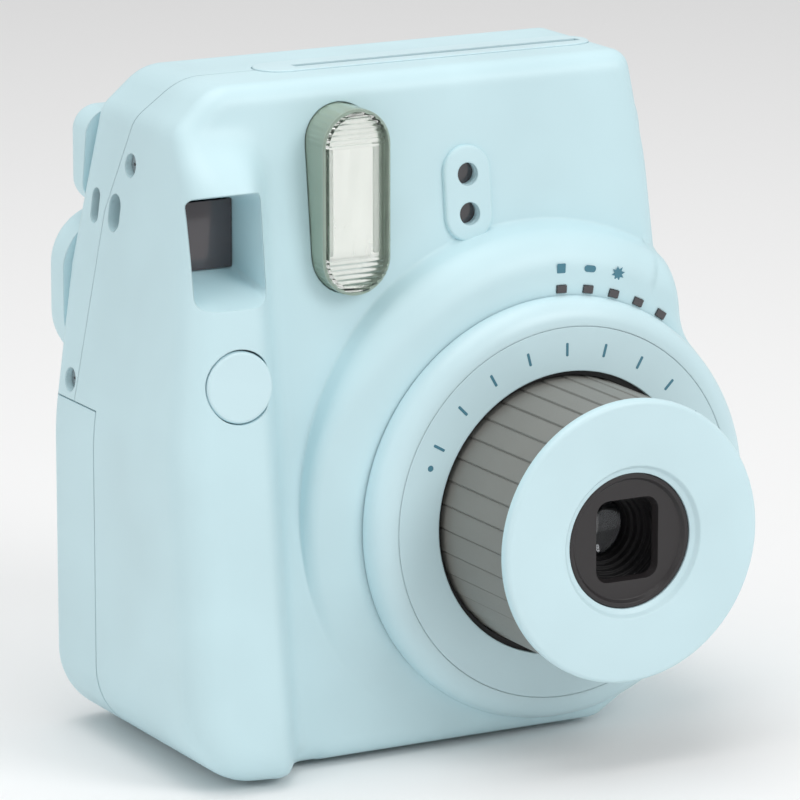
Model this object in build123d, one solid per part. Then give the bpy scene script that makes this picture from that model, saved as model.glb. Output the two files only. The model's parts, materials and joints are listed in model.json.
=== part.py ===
"""Instant camera, modelled as it comes apart on a bench. Millimetres, +Z up, the lens looks along -Y.

The model is drawn about the middle of the body's width, with the body's underside at z = 0. On export every
piece is moved together, so that the origin is at the middle of the bottom of the whole camera's box.
"""

from build123d import *
from math import acos, atan2, cos, hypot, pi, radians, sin, sqrt
import os

# ---- body shell: front view (x, z) ------------------------------------------------------------------------
body_left = -58.0            # side of the grip
body_right_top = 39.2        # right side where it meets the top
body_right_mid = 42.0        # right side at right_mid_z
right_mid_z = 98.0
body_right_low = 43.7        # right side where the round base takes over
base_out_r = 39.2            # the round base's outside, below and to the right
underside_x = 25.6           # the underside is flat up to here, then runs straight into the base
body_top = 117.5
grip_break_z = 55.0          # the grip's side leans in above this height
shoulder_x = body_left + 7.5
shoulder_z = body_top - 7.0
top_left_x = body_left + 15.0           # where the slope above the shoulder meets the top
r_bottom_left = 13.0
r_base_low = 5.0             # blends of the round base into the underside and the right side
r_base_high = 10.0
r_top_right = 3.5
r_shoulder = 5.0
r_top_left = 9.0
r_lean = 60.0
wall = 2.0
below_z = -20.0              # heights well clear of the body, for cuts
above_z = body_top + 22.5
part_gap = 0.12              # half of the joint between two shells
r_rim = 3.5                  # rounding of the front rim
r_grip = 6.0                 # rounding of the grip's front edges
r_back = 3.5                 # rounding of the rear rim

# ---- body shell: side view (y, z) -------------------------------------------------------------------------
face_y = -29.2               # front face at z = 0
face_slant = 0.12            # the face leans back by this much per millimetre of height
grip_proud = 8.5             # the grip stands this far ahead of the face
grip_right = -36.0
grip_top = body_top - 11.0
r_grip_corner = 9.0
back_y_low = 21.5
back_y_top = 15.5
back_break_z = 82.0
split_top_y = -2.0           # joint between the covers at the top
split_bend_z = 93.0
split_bend_y = 8.5
split_low_z = 60.0
split_low_y = 12.0

# ---- lens -------------------------------------------------------------------------------------------------
lens_x = 16.1
lens_z = 40.0
base_r = 48.0                # raised base round the dial
base_front_y = -27.8
base_cone = 1.2              # the base's front falls back by this much out to its edge
base_edge_r = 3.0
trim_r = 38.8
dial_r = 37.9
dial_front_y = -32.7
dial_edge_r = 4.2
face_ring_r = 33.3
barrel_r = 24.3
face_ring_hole_r = barrel_r + 1.1
barrel_wall = 1.6
barrel_back_y = -26.5
barrel_travel = 19.5
ring_r = barrel_r + 0.7
ring_front_y = -55.7
ring_thick = 2.2
bevel_r = 13.8
insert_r = 11.9
insert_recess = 2.0
window_w = 11.0
window_h = 14.0
run_gap = 0.06               # radial clearance of a running fit
free_gap = 0.3               # clearance between pieces that only pass each other

# ---- flash, sensors, viewfinder, button -------------------------------------------------------------------
flash_x = -19.9
flash_z = body_top - 20.5
flash_w = 13.2
flash_h = 32.6
flash_front_y = face_y + face_slant * flash_z - 6.44
flash_depth = 12.0
flash_wall = 1.3
pad_x = 4.3
pad_z = body_top - 22.0
pad_w = 9.3
pad_h = 17.0
pad_proud = 0.9
sensor_r = 1.95
sensor_pitch = 6.9
finder_x = body_left + 12.7
finder_z = body_top - 25.9
finder_w = 14.6
finder_h = 19.6
finder_r = 1.6
finder_win_x = finder_x + 0.7
finder_win_z = finder_z + 0.6
finder_win_w = 10.4
finder_win_h = 10.6
finder_win_y = -12.0
button_r = 6.2
button_x = body_left + button_r + 6.0
button_z = 68.8
button_dish_r = button_r + 2.5
button_dish = 1.0
button_proud = 0.6
button_travel = 1.3

# ---- film path --------------------------------------------------------------------------------------------
film_x = 7.0
film_y = -2.2
slot_w = 57.0
slot_gap = 1.8
exit_x = 4.4
exit_y = -1.6
exit_w = 66.0
exit_d = 9.0
exit_thick = 2.6
exit_proud = 0.25
chamber_x = 5.9
chamber_w = 61.0
chamber_z0 = 11.4
frame_wall = 1.3
gate_w = 43.0
gate_z0 = 12.6
gate_z1 = 66.0
roller_r = 2.9
roller_z = body_top - 8.1
chamber_z1 = roller_z - 9.2
roller_len = 52.0
gear_module = 0.4
roller_teeth = 16
idler_teeth = 40
pinion_teeth = 8
gear_x0 = -30.4
gear_face = 1.8
bracket_x0 = -28.2
bracket_thick = 1.4
shaft_r = 1.0
motor_r = 7.0
motor_len = 18.0

# ---- film door, lids --------------------------------------------------------------------------------------
door_x0 = -29.0
door_x1 = 38.4
door_z0 = 8.0
door_z1 = chamber_z1 + 2.8
door_thick = 5.5
door_skin = 2.0
r_door = 4.0
hinge_x = door_x1 + 3.8
hinge_y = back_y_low + 3.2
hinge_pin_r = 1.2
knuckle_r = 2.6
knuckle_z = (17.0, 25.0, 34.0, 45.0, 54.0, 62.0)
latch_x = -22.5
latch_z = 40.0
latch_w = 7.0
latch_h = 12.0
latch_travel = 3.0
counter_x = 26.0
counter_z = 24.0
counter_r = 9.0
counter_win_r = 3.0
counter_ring = 6.0           # the numbers' distance from the disc's centre
pack_win_x = -4.0
pack_win_z = 56.0
pack_win_w = 12.0
pack_win_h = 24.0
lid_front_y = 3.4
lid_x = -44.0
lid_travel = 5.0
eyepiece_x0 = body_left + 6.0
eyepiece_x1 = body_left + 24.5
eyepiece_z0 = finder_z + 0.4
eyepiece_z1 = finder_z + 17.9
eyepiece_back_y = back_y_low + 4.5
r_eyepiece = 4.0
r_eyepiece_side = 4.6
thumb_x = body_left + 13.4
thumb_z = 76.5
thumb_w = 21.0
thumb_h = 29.0
thumb_back_y = back_y_low + 8.5
r_thumb = 5.0
foot_r = 2.4
foot_h = 1.0
foot_places = ((-42.0, -24.0), (22.8, -21.0), (-36.0, 14.0), (21.0, 14.0))
screw_r = 1.9
screw_hole_r = 2.1
lug_x = 38.6
lug_z = body_top - 20.1
lug_r = 16.0
lug_w = 9.0
lug_y = 10.5

# ---- batteries --------------------------------------------------------------------------------------------
cell_r = 6.95
cell_len = 49.5
cell_x = (body_left + 10.6, body_left + 10.8 + 2 * cell_r)
cell_z0 = 6.1
cell_y = lid_front_y + cell_r + 0.35
lid_top_z = cell_z0 + cell_len + 3.4

END_Y = 90.0
END_X = 120.0

face_norm = hypot(1.0, face_slant)


def face_at(z):
    """y of the front face at a height."""
    return face_y + face_slant * z


def block(x0, x1, y0, y1, z0, z1):
    """Box between two corners."""
    return Pos((x0 + x1) / 2, (y0 + y1) / 2, (z0 + z1) / 2) * Box(x1 - x0, y1 - y0, z1 - z0)


def along_y(face, y0, y1):
    """Extrudes a face drawn in front view (x, z) from y0 to y1."""
    plane = Plane(origin=(0, y0, 0), x_dir=(1, 0, 0), z_dir=(0, -1, 0))
    return extrude(plane * face, amount=-(y1 - y0))


def along_x(points, x0, x1):
    """Extrudes a side-view outline (y, z) from x0 to x1."""
    plane = Plane(origin=(x0, 0, 0), x_dir=(0, 1, 0), z_dir=(1, 0, 0))
    return extrude(plane * make_face(Polyline(*points, close=True)), amount=x1 - x0)


def rod_y(x, z, r, y0, y1, hole=0.0):
    """Round bar or tube along Y."""
    bar = Pos(x, (y0 + y1) / 2, z) * Rot(90, 0, 0) * Cylinder(r, y1 - y0)
    if hole:
        bar -= Pos(x, (y0 + y1) / 2, z) * Rot(90, 0, 0) * Cylinder(hole, y1 - y0 + 2)
    return bar


def rod_x(y, z, r, x0, x1, hole=0.0):
    """Round bar or tube along X."""
    bar = Pos((x0 + x1) / 2, y, z) * Rot(0, 90, 0) * Cylinder(r, x1 - x0)
    if hole:
        bar -= Pos((x0 + x1) / 2, y, z) * Rot(0, 90, 0) * Cylinder(hole, x1 - x0 + 2)
    return bar


def turned(points, x=lens_x, z=lens_z):
    """Ring or disc turned about a Y axis: points are (radius, y)."""
    plane = Plane(origin=(x, 0, z), x_dir=(1, 0, 0), z_dir=(0, 0, 1))
    return revolve(plane * make_face(Polyline(*points, close=True)), axis=Axis((x, 0, z), (0, 1, 0)))


def stadium(w, h, x, z):
    """Upright rounded slot shape in front view."""
    return Pos(x, z) * Rot(0, 0, 90) * SlotOverall(h, w)


def outline(inset=0.0):
    """Front-view outline of the body, moved inwards by inset: a tapered block with the round base let into it."""
    join_z = lens_z + sqrt(base_out_r**2 - (body_right_low - lens_x) ** 2)
    run = underside_x - lens_x
    low = atan2(-lens_z, run) + acos(base_out_r / hypot(run, lens_z))
    corners = {
        (underside_x, 0): r_base_low,
        (body_left, 0): r_bottom_left,
        (body_left, grip_break_z): r_lean,
        (shoulder_x, shoulder_z): r_shoulder,
        (top_left_x, body_top): r_top_left,
        (body_right_top, body_top): r_top_right,
        (body_right_mid, right_mid_z): r_lean,
        (body_right_low, join_z): r_base_high,
    }
    low_end = (lens_x + base_out_r * cos(low), lens_z + base_out_r * sin(low))
    sides = Polyline(low_end, *corners)
    arc = ThreePointArc((body_right_low, join_z), (lens_x + base_out_r, lens_z), low_end)
    face = make_face(sides.edges() + arc.edges())
    for (x, z), r in corners.items():
        face = fillet([v for v in face.vertices() if hypot(v.X - x, v.Y - z) < 0.01], r)
    return offset(face, amount=-inset) if inset else face


def behind_face(proud=0.0, back=END_Y):
    """Everything behind the slanted front plane, moved forward by proud."""
    y_low = face_at(below_z) - proud
    y_high = face_at(above_z) - proud
    return along_x([(y_low, below_z), (y_high, above_z), (back, above_z), (back, below_z)], -END_X, END_X)


def before_back(inset=0.0):
    """Everything in front of the back of the covers."""
    lean = (back_y_low - back_y_top) / (body_top - back_break_z)
    y_high = back_y_low - lean * (above_z - back_break_z) - inset
    y_low = back_y_low - inset
    points = [(-END_Y, below_z), (-END_Y, above_z), (y_high, above_z), (y_low, back_break_z), (y_low, below_z)]
    return along_x(points, -END_X, END_X)


def grip_region(inset=0.0):
    """Front-view region of the raised grip, open to the left and below."""
    right = grip_right - inset
    top = grip_top - inset
    points = [(-END_X, below_z), (-END_X, top), (right, top), (right, below_z)]
    r = r_grip_corner - inset
    line = FilletPolyline(*points, radius=[0.001, 0.001, r, 0.001], close=True)
    return make_face(line)


def body_solid(inset=0.0):
    """The whole body as one solid; inset gives the inside of its wall."""
    prism = along_y(outline(inset), -END_Y / 2, END_Y / 2)
    main = behind_face(-inset * face_norm)
    grip = behind_face(grip_proud - inset * face_norm) & along_y(grip_region(inset), -END_Y / 2, END_Y / 2)
    return (prism & (main + grip)) & before_back(inset)


def at_face(edges, proud):
    """Edges that lie in the front plane moved forward by proud."""
    return [e for e in edges if all(abs(v.Y - face_at(v.Z) + proud) < 0.02 for v in e.vertices())]


def rounded_body(inset=0.0):
    """The body with its rims rounded; inset gives the inside, with radii that keep the wall's thickness."""
    shape = body_solid(inset).solids()[0]
    plane_shift = inset * face_norm
    rear = [e for e in shape.edges() if all(v.Y > back_y_top - inset - 0.6 for v in e.vertices())]
    shape = shape.fillet(r_back - inset, rear).solids()[0]
    shape = shape.fillet(r_grip - inset, at_face(shape.edges(), grip_proud - plane_shift)).solids()[0]
    rim = at_face(shape.edges(), -plane_shift)
    rim = [e for e in rim if e.center().X > grip_right + 0.5 or e.center().Z > grip_top - inset + 2.5]
    return shape.fillet(r_rim - inset, rim).solids()[0]


def split_region(front, gap=part_gap):
    """Everything in front of (or behind) the joint between the two covers."""
    far = -END_Y if front else END_Y
    shift = -gap if front else gap
    line = [
        (split_top_y + shift, above_z),
        (split_top_y + shift, body_top),
        (split_bend_y + shift, split_bend_z),
        (split_low_y + shift, split_low_z),
        (split_low_y + shift, below_z),
    ]
    return along_x([(far, above_z)] + line + [(far, below_z)], -END_X, END_X)


def base_disc():
    """The raised round base that the exposure dial sits on."""
    edge_y = base_front_y + base_cone
    profile = [
        (0, -12.0),
        (base_r, -12.0),
        (base_r, edge_y + base_edge_r),
        (base_r - base_edge_r, edge_y),
        (trim_r, base_front_y),
        (0, base_front_y),
    ]
    disc = turned(profile)
    room = along_y(outline(), -END_Y / 2, END_Y / 2) + rod_y(lens_x, lens_z, trim_r, -40, 0)
    return disc & room


def base_hollow():
    """The room inside the raised base."""
    disc = rod_y(lens_x, lens_z, base_r - base_edge_r, base_front_y + wall, -8.0)
    room = along_y(outline(wall), -END_Y / 2, END_Y / 2) + rod_y(lens_x, lens_z, trim_r - wall, -40, 0)
    return disc & room


def sensor_pad():
    """Raised pad round the two light sensors."""
    front = face_at(pad_z) - pad_proud
    pad = along_y(stadium(pad_w, pad_h, pad_x, pad_z), front, front + 4)
    edges = [e for e in pad.edges() if e.center().Y < front + 0.01]
    return fillet(edges, 0.6)


def finder_block():
    """Solid that the finder's funnel is cut from."""
    x0 = finder_x - finder_w / 2 - wall
    x1 = finder_x + finder_w / 2 + wall
    z0 = finder_z - finder_h / 2 - wall
    z1 = finder_z + finder_h / 2 + wall
    return block(x0, x1, face_at(finder_z) - grip_proud + 1, finder_win_y + 0.5, z0, z1)


def finder_funnel():
    """Recess that narrows from the grip's face to the finder window."""
    y0 = face_at(finder_z) - grip_proud - 4
    mouth = Plane(origin=(finder_x, y0, finder_z), x_dir=(1, 0, 0), z_dir=(0, -1, 0))
    throat = Plane(origin=(finder_win_x, finder_win_y, finder_win_z), x_dir=(1, 0, 0), z_dir=(0, -1, 0))
    big = mouth * RectangleRounded(finder_w + 1.6, finder_h + 3.2, finder_r)
    small = throat * RectangleRounded(finder_win_w, finder_win_h, 0.6)
    return loft([big, small]) + block(*window_box(finder_win_w - 2, finder_win_h - 2, -1, 2))


def window_box(w, h, dy0, dy1):
    """Corners of a box round the finder window."""
    return (
        finder_win_x - w / 2,
        finder_win_x + w / 2,
        finder_win_y + dy0,
        finder_win_y + dy1,
        finder_win_z - h / 2,
        finder_win_z + h / 2,
    )


button_face_y = face_y - grip_proud + face_slant * button_z
button_plane = Plane(origin=(button_x, button_face_y, button_z), x_dir=(1, 0, 0), z_dir=(0, -1, face_slant))


def on_button(r, z0, z1):
    """Round bar along the shutter button's axis, measured outwards from the grip's face."""
    return button_plane * Pos(0, 0, (z0 + z1) / 2) * Cylinder(r, z1 - z0)


button_gap = 0.2
button_len = 6.0
button_flange_r = button_r + 1.2
button_flange = 1.0
stem_r = 2.0
stem_len = 2.0
switch_size = 6.0
switch_h = 3.5
switch_gap = 0.2


def button_hole():
    """Shallow dish and hole for the shutter button."""
    dish = Pos(0, 0, -button_dish / 2 + 0.25) * Cone(button_r + 0.7, button_dish_r, button_dish + 0.5)
    return button_plane * dish + on_button(button_r + button_gap, -20, 5)


def button_boss():
    """Sleeve inside the grip that guides the button."""
    return on_button(button_dish_r, -button_len + button_gap, -1.0)


led_angles = [2.3 + 7.9 * i for i in range(5)]
led_r = 39.0
led_w = 1.9
led_h = 1.3


def led_windows():
    """Small dark windows over the five exposure lamps."""
    pieces = []
    for angle in led_angles:
        x = lens_x + led_r * sin(radians(angle))
        z = lens_z + led_r * cos(radians(angle))
        bar = Pos(x, base_front_y + 0.9, z) * Rot(0, angle, 0) * Box(led_w, 2.4, led_h)
        pieces.append(bar)
    return Compound([p.solids()[0] for p in pieces])


def led_holes():
    """Holes for the lamp windows."""
    cuts = []
    for angle in led_angles:
        x = lens_x + led_r * sin(radians(angle))
        z = lens_z + led_r * cos(radians(angle))
        cuts.append(Pos(x, base_front_y, z) * Rot(0, angle, 0) * Box(led_w + 0.1, 8, led_h + 0.1))
    return cuts


def side_at(z):
    """x of the grip's side at a height."""
    lean = (shoulder_x - body_left) / (shoulder_z - grip_break_z)
    return body_left + max(0.0, z - grip_break_z) * lean


front_screw = (0.6, body_top - 15.1)
rear_screw = (14.6, 62.4)
bottom_screws = ((-30.0, -12.0), (17.0, 4.0))
screw_sink = 1.2
screw_len = 2.2


def screw_boss(y, z):
    """Post behind a side screw."""
    x = side_at(z)
    return rod_x(y, z, screw_r + 1.4, x + 1.0, x + screw_len)


def screw_cut(y, z):
    """Stepped hole for a side screw."""
    x = side_at(z)
    return rod_x(y, z, screw_hole_r, x - 3, x + screw_sink + 1.2)


def housing_screws():
    """Cross-head screws that hold the covers together."""
    pieces = []
    for y, z in (front_screw, rear_screw):
        x = side_at(z) + screw_sink
        head = rod_x(y, z, screw_r, x, x + 1.0)
        cross = block(x - 1, x + 0.5, y - 1.1, y + 1.1, z - 0.25, z + 0.25)
        cross += block(x - 1, x + 0.5, y - 0.25, y + 0.25, z - 1.1, z + 1.1)
        pieces.append(head - cross)
    for x, y in bottom_screws:
        head = Pos(x, y, 1.1) * Cylinder(screw_r, 1.0)
        cross = block(x - 1.1, x + 1.1, y - 0.25, y + 0.25, 0, 1.1)
        cross += block(x - 0.25, x + 0.25, y - 1.1, y + 1.1, 0, 1.1)
        pieces.append(head - cross)
    return Compound([p.solids()[0] for p in pieces])


strap_slots = ((4.8, 4.4, 6.6), (12.4, 3.0, 6.2))
strap_z = finder_z + 1.9


def strap_cuts():
    """Two upright slots that a strap's loop goes through."""
    cuts = []
    for y, w, h in strap_slots:
        plane = Plane(origin=(side_at(strap_z) - 3, y, strap_z), x_dir=(0, 0, 1), z_dir=(1, 0, 0))
        cuts.append(extrude(plane * SlotOverall(h, w), amount=8))
    return cuts


def exit_outline(grow=0.0):
    """Plan outline of the film exit panel."""
    return Pos(exit_x, exit_y) * SlotOverall(exit_w + 2 * grow, exit_d + 2 * grow)


def exit_pocket():
    """Hole in the top for the film exit panel."""
    return extrude(Plane.XY.offset(body_top - 6) * exit_outline(0.15), amount=20)


def film_exit_bezel():
    """Panel in the top with the slot that the print comes out of."""
    panel = extrude(Plane.XY.offset(body_top - exit_thick) * exit_outline(), amount=exit_thick + exit_proud)
    panel = fillet([e for e in panel.edges() if e.center().Z > body_top + exit_proud - 0.01], 0.2)
    slot = Pos(film_x, film_y, body_top) * Box(slot_w, slot_gap, 20)
    return panel - slot


def lid_region(gap=0.0):
    """Corner of the grip that comes away as the battery lid."""
    return block(-END_X, lid_x - gap, lid_front_y + gap, END_Y, below_z, lid_top_z - gap)


def flash_tunnel(grow):
    """Upright rounded slot that the flash sits in."""
    return along_y(stadium(flash_w + 2 * grow, flash_h + 2 * grow, flash_x, flash_z), -40, flash_front_y + flash_depth)


def front_cover(outer, inner):
    """Front shell with the grip, the lens base, the finder's funnel and the button's sleeve."""
    shell = (outer + base_disc() + sensor_pad()) - inner - base_hollow()
    shell += finder_block() & outer
    shell += button_boss() & outer
    shell += screw_boss(*front_screw) & outer
    shell = shell & split_region(True)
    shell -= finder_funnel()
    shell -= button_hole()
    shell -= flash_tunnel(0.2)
    shell -= rod_y(lens_x, lens_z, guide_r + 0.15, -40, -5)
    shell -= rod_y(lens_x, lens_z, dial_r + 0.4, -50, base_front_y)
    for dz in (-sensor_pitch / 2, sensor_pitch / 2):
        shell -= rod_y(pad_x, pad_z + dz, sensor_r, -40, -10)
    for cut in led_holes():
        shell -= cut
    shell -= strap_cuts()[0]
    shell -= screw_cut(*front_screw)
    for x, y in bottom_screws:
        shell -= Pos(x, y, 0) * Cylinder(screw_hole_r, 3.4)
    shell -= lid_region(-part_gap)
    shell -= exit_pocket()
    return shell


def thumb_rest():
    """Rounded pad on the back, where the thumb goes."""
    pad = along_y(stadium(thumb_w, thumb_h, thumb_x, thumb_z), 12, thumb_back_y)
    return fillet([e for e in pad.edges() if e.center().Y > thumb_back_y - 0.01], r_thumb)


def strap_lug():
    """Rounded ear on the right side."""
    ear = rod_y(lug_x, lug_z, lug_r, lug_y - lug_w / 2, lug_y + lug_w / 2)
    return fillet([e for e in ear.edges() if e.geom_type == GeomType.CIRCLE], 2.6)


def hinge_knuckles(first, reach_y):
    """Alternate knuckles of the door's hinge, from first, joined down to reach_y."""
    shape = None
    for i in range(first, len(knuckle_z) - 1, 2):
        z0 = knuckle_z[i] + free_gap / 2
        z1 = knuckle_z[i + 1] - free_gap / 2
        ring = Pos(hinge_x, hinge_y, (z0 + z1) / 2) * Cylinder(knuckle_r, z1 - z0)
        if first:
            web = block(door_x1 - 1.2, hinge_x, hinge_y - 1.0, hinge_y + 1.0, z0, z1)
        else:
            web = block(hinge_x - 1.6, hinge_x + 1.6, reach_y, hinge_y, z0, z1)
        shape = ring + web if shape is None else shape + ring + web
    return shape


def hinge_bore():
    """Bore of the hinge's knuckles."""
    z0, z1 = knuckle_z[0] - 1, knuckle_z[-1] + 1
    return Pos(hinge_x, hinge_y, (z0 + z1) / 2) * Cylinder(hinge_pin_r + run_gap, z1 - z0)


def rear_cover(outer, inner):
    """Rear shell with the film opening, the thumb rest and the fixed half of the hinge."""
    shell = (outer + (thumb_rest() - before_back(0.5)) + strap_lug()) - inner
    shell += screw_boss(*rear_screw) & outer
    shell = shell & split_region(False)
    shell -= strap_cuts()[1]
    shell -= screw_cut(*rear_screw)
    shell -= lid_region(-part_gap)
    shell -= exit_pocket()
    half = chamber_w / 2 + frame_wall + 0.2
    shell -= block(chamber_x - half, chamber_x + half, 8, 60, chamber_z0 - frame_wall - 0.2, chamber_z1 + frame_wall + 0.2)
    shell -= block(*eye_box(tube_back_y + 0.3, 60))
    shell += hinge_knuckles(0, back_y_low - 1.0)
    return shell - hinge_bore()


tube_x0 = finder_x - 4.0
tube_x1 = finder_x + 5.4
tube_z0 = finder_z - 3.2
tube_z1 = finder_z + 9.8
tube_back_y = 13.0
tube_wall = 1.0


def tube_box(grow, y0, y1):
    """Corners of the finder tube's box."""
    return (tube_x0 - grow, tube_x1 + grow, y0, y1, tube_z0 - grow, tube_z1 + grow)


def film_door():
    """Hinged back panel, hollow inside, with its counter window, pack window and latch slot."""
    region = block(door_x0, door_x1, 0, END_Y, door_z0, door_z1)
    slab = (before_back(-door_thick) - before_back(-free_gap)) & region
    slab = slab.solids()[0]
    lean = (back_y_low - back_y_top) / (body_top - back_break_z)
    top_y = back_y_low - lean * (door_z1 - back_break_z) + door_thick
    outer = [e for e in slab.edges() if all(v.Y > top_y - 0.1 for v in e.vertices())]
    outer = [e for e in outer if not (abs(e.center().Z - back_break_z) < 0.1 and e.length > 50)]
    slab = slab.fillet(r_door, outer).solids()[0]
    hollow = (before_back(-door_thick + door_skin) - before_back(-free_gap + 1)) & block(
        door_x0 + door_skin, door_x1 - door_skin, 0, END_Y, door_z0 + door_skin, door_z1 - door_skin
    )
    shape = slab - hollow
    shape += hinge_knuckles(1, 0)
    shape -= hinge_bore()
    back = back_y_low + door_thick
    shape -= latch_slot()
    shape -= rod_y(counter_x, counter_z + counter_ring, counter_win_r + 0.1, back - 4, back + 4)
    shape -= block(*pack_window_box(0.1, back - 6, back + 4))
    return shape


def pack_window_box(grow, y0, y1):
    """Corners of a box at the pack window."""
    return (
        pack_win_x - pack_win_w / 2 - grow,
        pack_win_x + pack_win_w / 2 + grow,
        y0,
        y1,
        pack_win_z - pack_win_h / 2 - grow,
        pack_win_z + pack_win_h / 2 + grow,
    )


def latch_slot():
    """Slot in the door that the latch slides in."""
    back = back_y_low + door_thick
    x0, x1 = latch_x - latch_w / 2 - 0.2, latch_x + latch_w / 2 + 0.2
    return block(x0, x1, back - 4, back + 4, latch_z - 0.3, latch_z + latch_h + latch_travel + 0.3)


def door_latch():
    """Sliding catch with finger ridges."""
    back = back_y_low + door_thick
    x0, x1 = latch_x - latch_w / 2, latch_x + latch_w / 2
    z0, z1 = latch_z, latch_z + latch_h
    pad = block(x0, x1, back - 2.6, back + 0.6, z0, z1)
    pad = fillet([e for e in pad.edges() if e.center().Y > back + 0.59], 0.4)
    for i in range(5):
        z = z0 + 2.4 + i * 1.8
        pad -= rod_x(back + 0.7, z, 0.45, x0 - 1, x1 + 1)
    tail = block(x0 - 0.8, x1 + 0.8, back - 3.6, back - 2.4, z0 + 1, z1 - 1)
    return pad + tail


guide_r = barrel_r + 1.7
guide_y0 = -31.2
guide_y1 = -21.5
flange_r = guide_r + 4.0
ring_hub_r = 34.4


def exposure_dial():
    """Ring that turns round the lens to set the exposure."""
    inner = face_ring_r
    y0 = dial_front_y
    y1 = base_front_y - free_gap
    step = y0 + 2.4
    arc_start = (dial_r - dial_edge_r, y0)
    arc_end = (dial_r, y0 + dial_edge_r)
    mid = (dial_r - dial_edge_r + dial_edge_r * sin(pi / 4), y0 + dial_edge_r * (1 - cos(pi / 4)))
    hub_bore = ring_hub_r + free_gap
    line = Polyline(
        (dial_r, y0 + dial_edge_r),
        (dial_r, y1),
        (hub_bore, y1),
        (hub_bore, step),
        (inner, step),
        (inner, y0),
        arc_start,
    )
    arc = ThreePointArc(arc_start, mid, arc_end)
    plane = Plane(origin=(lens_x, 0, lens_z), x_dir=(1, 0, 0), z_dir=(0, 0, 1))
    return revolve(plane * make_face([line, arc]), axis=Axis((lens_x, 0, lens_z), (0, 1, 0)))


def dial_face_ring():
    """Fixed flat ring inside the dial, with the hub that keeps the dial on."""
    r = face_ring_r - run_gap
    step = dial_front_y + 2.7
    points = [
        (face_ring_hole_r, dial_front_y),
        (r, dial_front_y),
        (r, step),
        (ring_hub_r, step),
        (ring_hub_r, base_front_y),
        (guide_r + 0.2, base_front_y),
        (guide_r + 0.2, guide_y0 - 0.2),
        (face_ring_hole_r, guide_y0 - 0.2),
    ]
    return turned(points)


def barrel_guide():
    """Fixed sleeve that the lens barrel slides in."""
    bore = barrel_r + run_gap
    behind = base_front_y + wall + 0.1
    points = [
        (bore, guide_y0),
        (guide_r, guide_y0),
        (guide_r, behind),
        (flange_r, behind),
        (flange_r, behind + 1.5),
        (guide_r, behind + 1.5),
        (guide_r, guide_y1),
        (bore, guide_y1),
    ]
    return turned(points)


ring_back_y = ring_front_y + ring_thick


def lens_barrel():
    """Sliding tube that carries the lens."""
    return rod_y(lens_x, lens_z, barrel_r, ring_back_y, barrel_back_y, barrel_r - barrel_wall)


def lens_front_ring():
    """Disc that caps the barrel, bevelled round its window."""
    hole = insert_r + 0.1
    points = [
        (hole, ring_front_y + 1.5),
        (bevel_r, ring_front_y),
        (ring_r - 0.7, ring_front_y),
        (ring_r, ring_front_y + 0.7),
        (ring_r, ring_back_y),
        (hole, ring_back_y),
    ]
    return turned(points)


baffle_steps = 6
baffle_front_r = 9.6
baffle_back_r = 5.6
lens_glass_r = 5.4
glass_y = -43.6


def lens_bezel():
    """Dark insert with the square window in front of the lens."""
    y0 = ring_front_y + insert_recess
    disc = rod_y(lens_x, lens_z, insert_r, y0, ring_back_y)
    disc += rod_y(lens_x, lens_z, insert_r + 2.4, ring_back_y, ring_back_y + 1.4)
    hole = along_y(Pos(lens_x, lens_z) * RectangleRounded(window_w, window_h, 2.0), y0 - 1, ring_back_y + 3)
    return disc - hole


def lens_baffle():
    """Stepped black funnel that keeps stray light off the lens."""
    y0 = ring_back_y + 1.4
    depth = glass_y - y0
    outer = baffle_front_r + 1.2
    points = [(outer, y0), (outer, glass_y), (baffle_back_r, glass_y)]
    for i in range(baffle_steps):
        r = baffle_back_r + (baffle_front_r - baffle_back_r) * i / (baffle_steps - 1)
        y = glass_y - depth * i / baffle_steps
        y_next = glass_y - depth * (i + 1) / baffle_steps
        if i:
            points.append((r, y))
        points.append((r, y_next))
    return turned(points)


def glass_disc(r, y, crown_front, crown_back, edge=0.8):
    """Lens with domed faces: y is the middle of its edge, and a crown of nought is a flat face."""
    y0, y1 = y - edge, y + edge
    disc = rod_y(lens_x, lens_z, r, y0 - 2 * crown_front, y1 + 2 * crown_back)
    for crown, tip, side in ((crown_front, y0 - crown_front, 1), (crown_back, y1 + crown_back, -1)):
        if crown:
            ball_r = (r * r + crown * crown) / (2 * crown)
            disc = disc & (Pos(lens_x, tip + side * ball_r, lens_z) * Sphere(ball_r))
    return disc


cell_front_y = glass_y
cell_back_y = -36.0
blade_y = -34.9
aperture_y = -34.1


def shutter_housing():
    """Plate and lens cell fixed across the barrel."""
    outer = barrel_r - barrel_wall
    points = [
        (lens_glass_r + 0.05, cell_front_y),
        (outer, cell_front_y),
        (outer, cell_front_y + 1.5),
        (lens_glass_r + 3.0, cell_front_y + 1.5),
        (lens_glass_r + 3.0, cell_back_y),
        (3.6, cell_back_y),
        (3.6, cell_back_y - 1.2),
        (lens_glass_r + 0.05, cell_back_y - 1.2),
    ]
    return turned(points)


pivot_dx = 11.0
pivot_dz = 8.0
pin_r = 0.9
blade_thick = 0.4
blade_leaf_r = 4.8
blade_arm_w = 4.0
blade_hub_r = 2.6
aperture_offset = 8.0
aperture_disc_r = 14.2
plate_y = -33.0
plate_thick = 1.4
aperture_ratio = 5.0
rear_lens_r = 6.6
aperture_hole_r = (2.4, 2.0, 1.6, 1.2, 0.9)
dial_step = 7.9


def slope_angle(rise, run):
    """Angle of a slope in degrees."""
    return Vector(run, rise, 0).get_angle(Vector(1, 0, 0))


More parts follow.
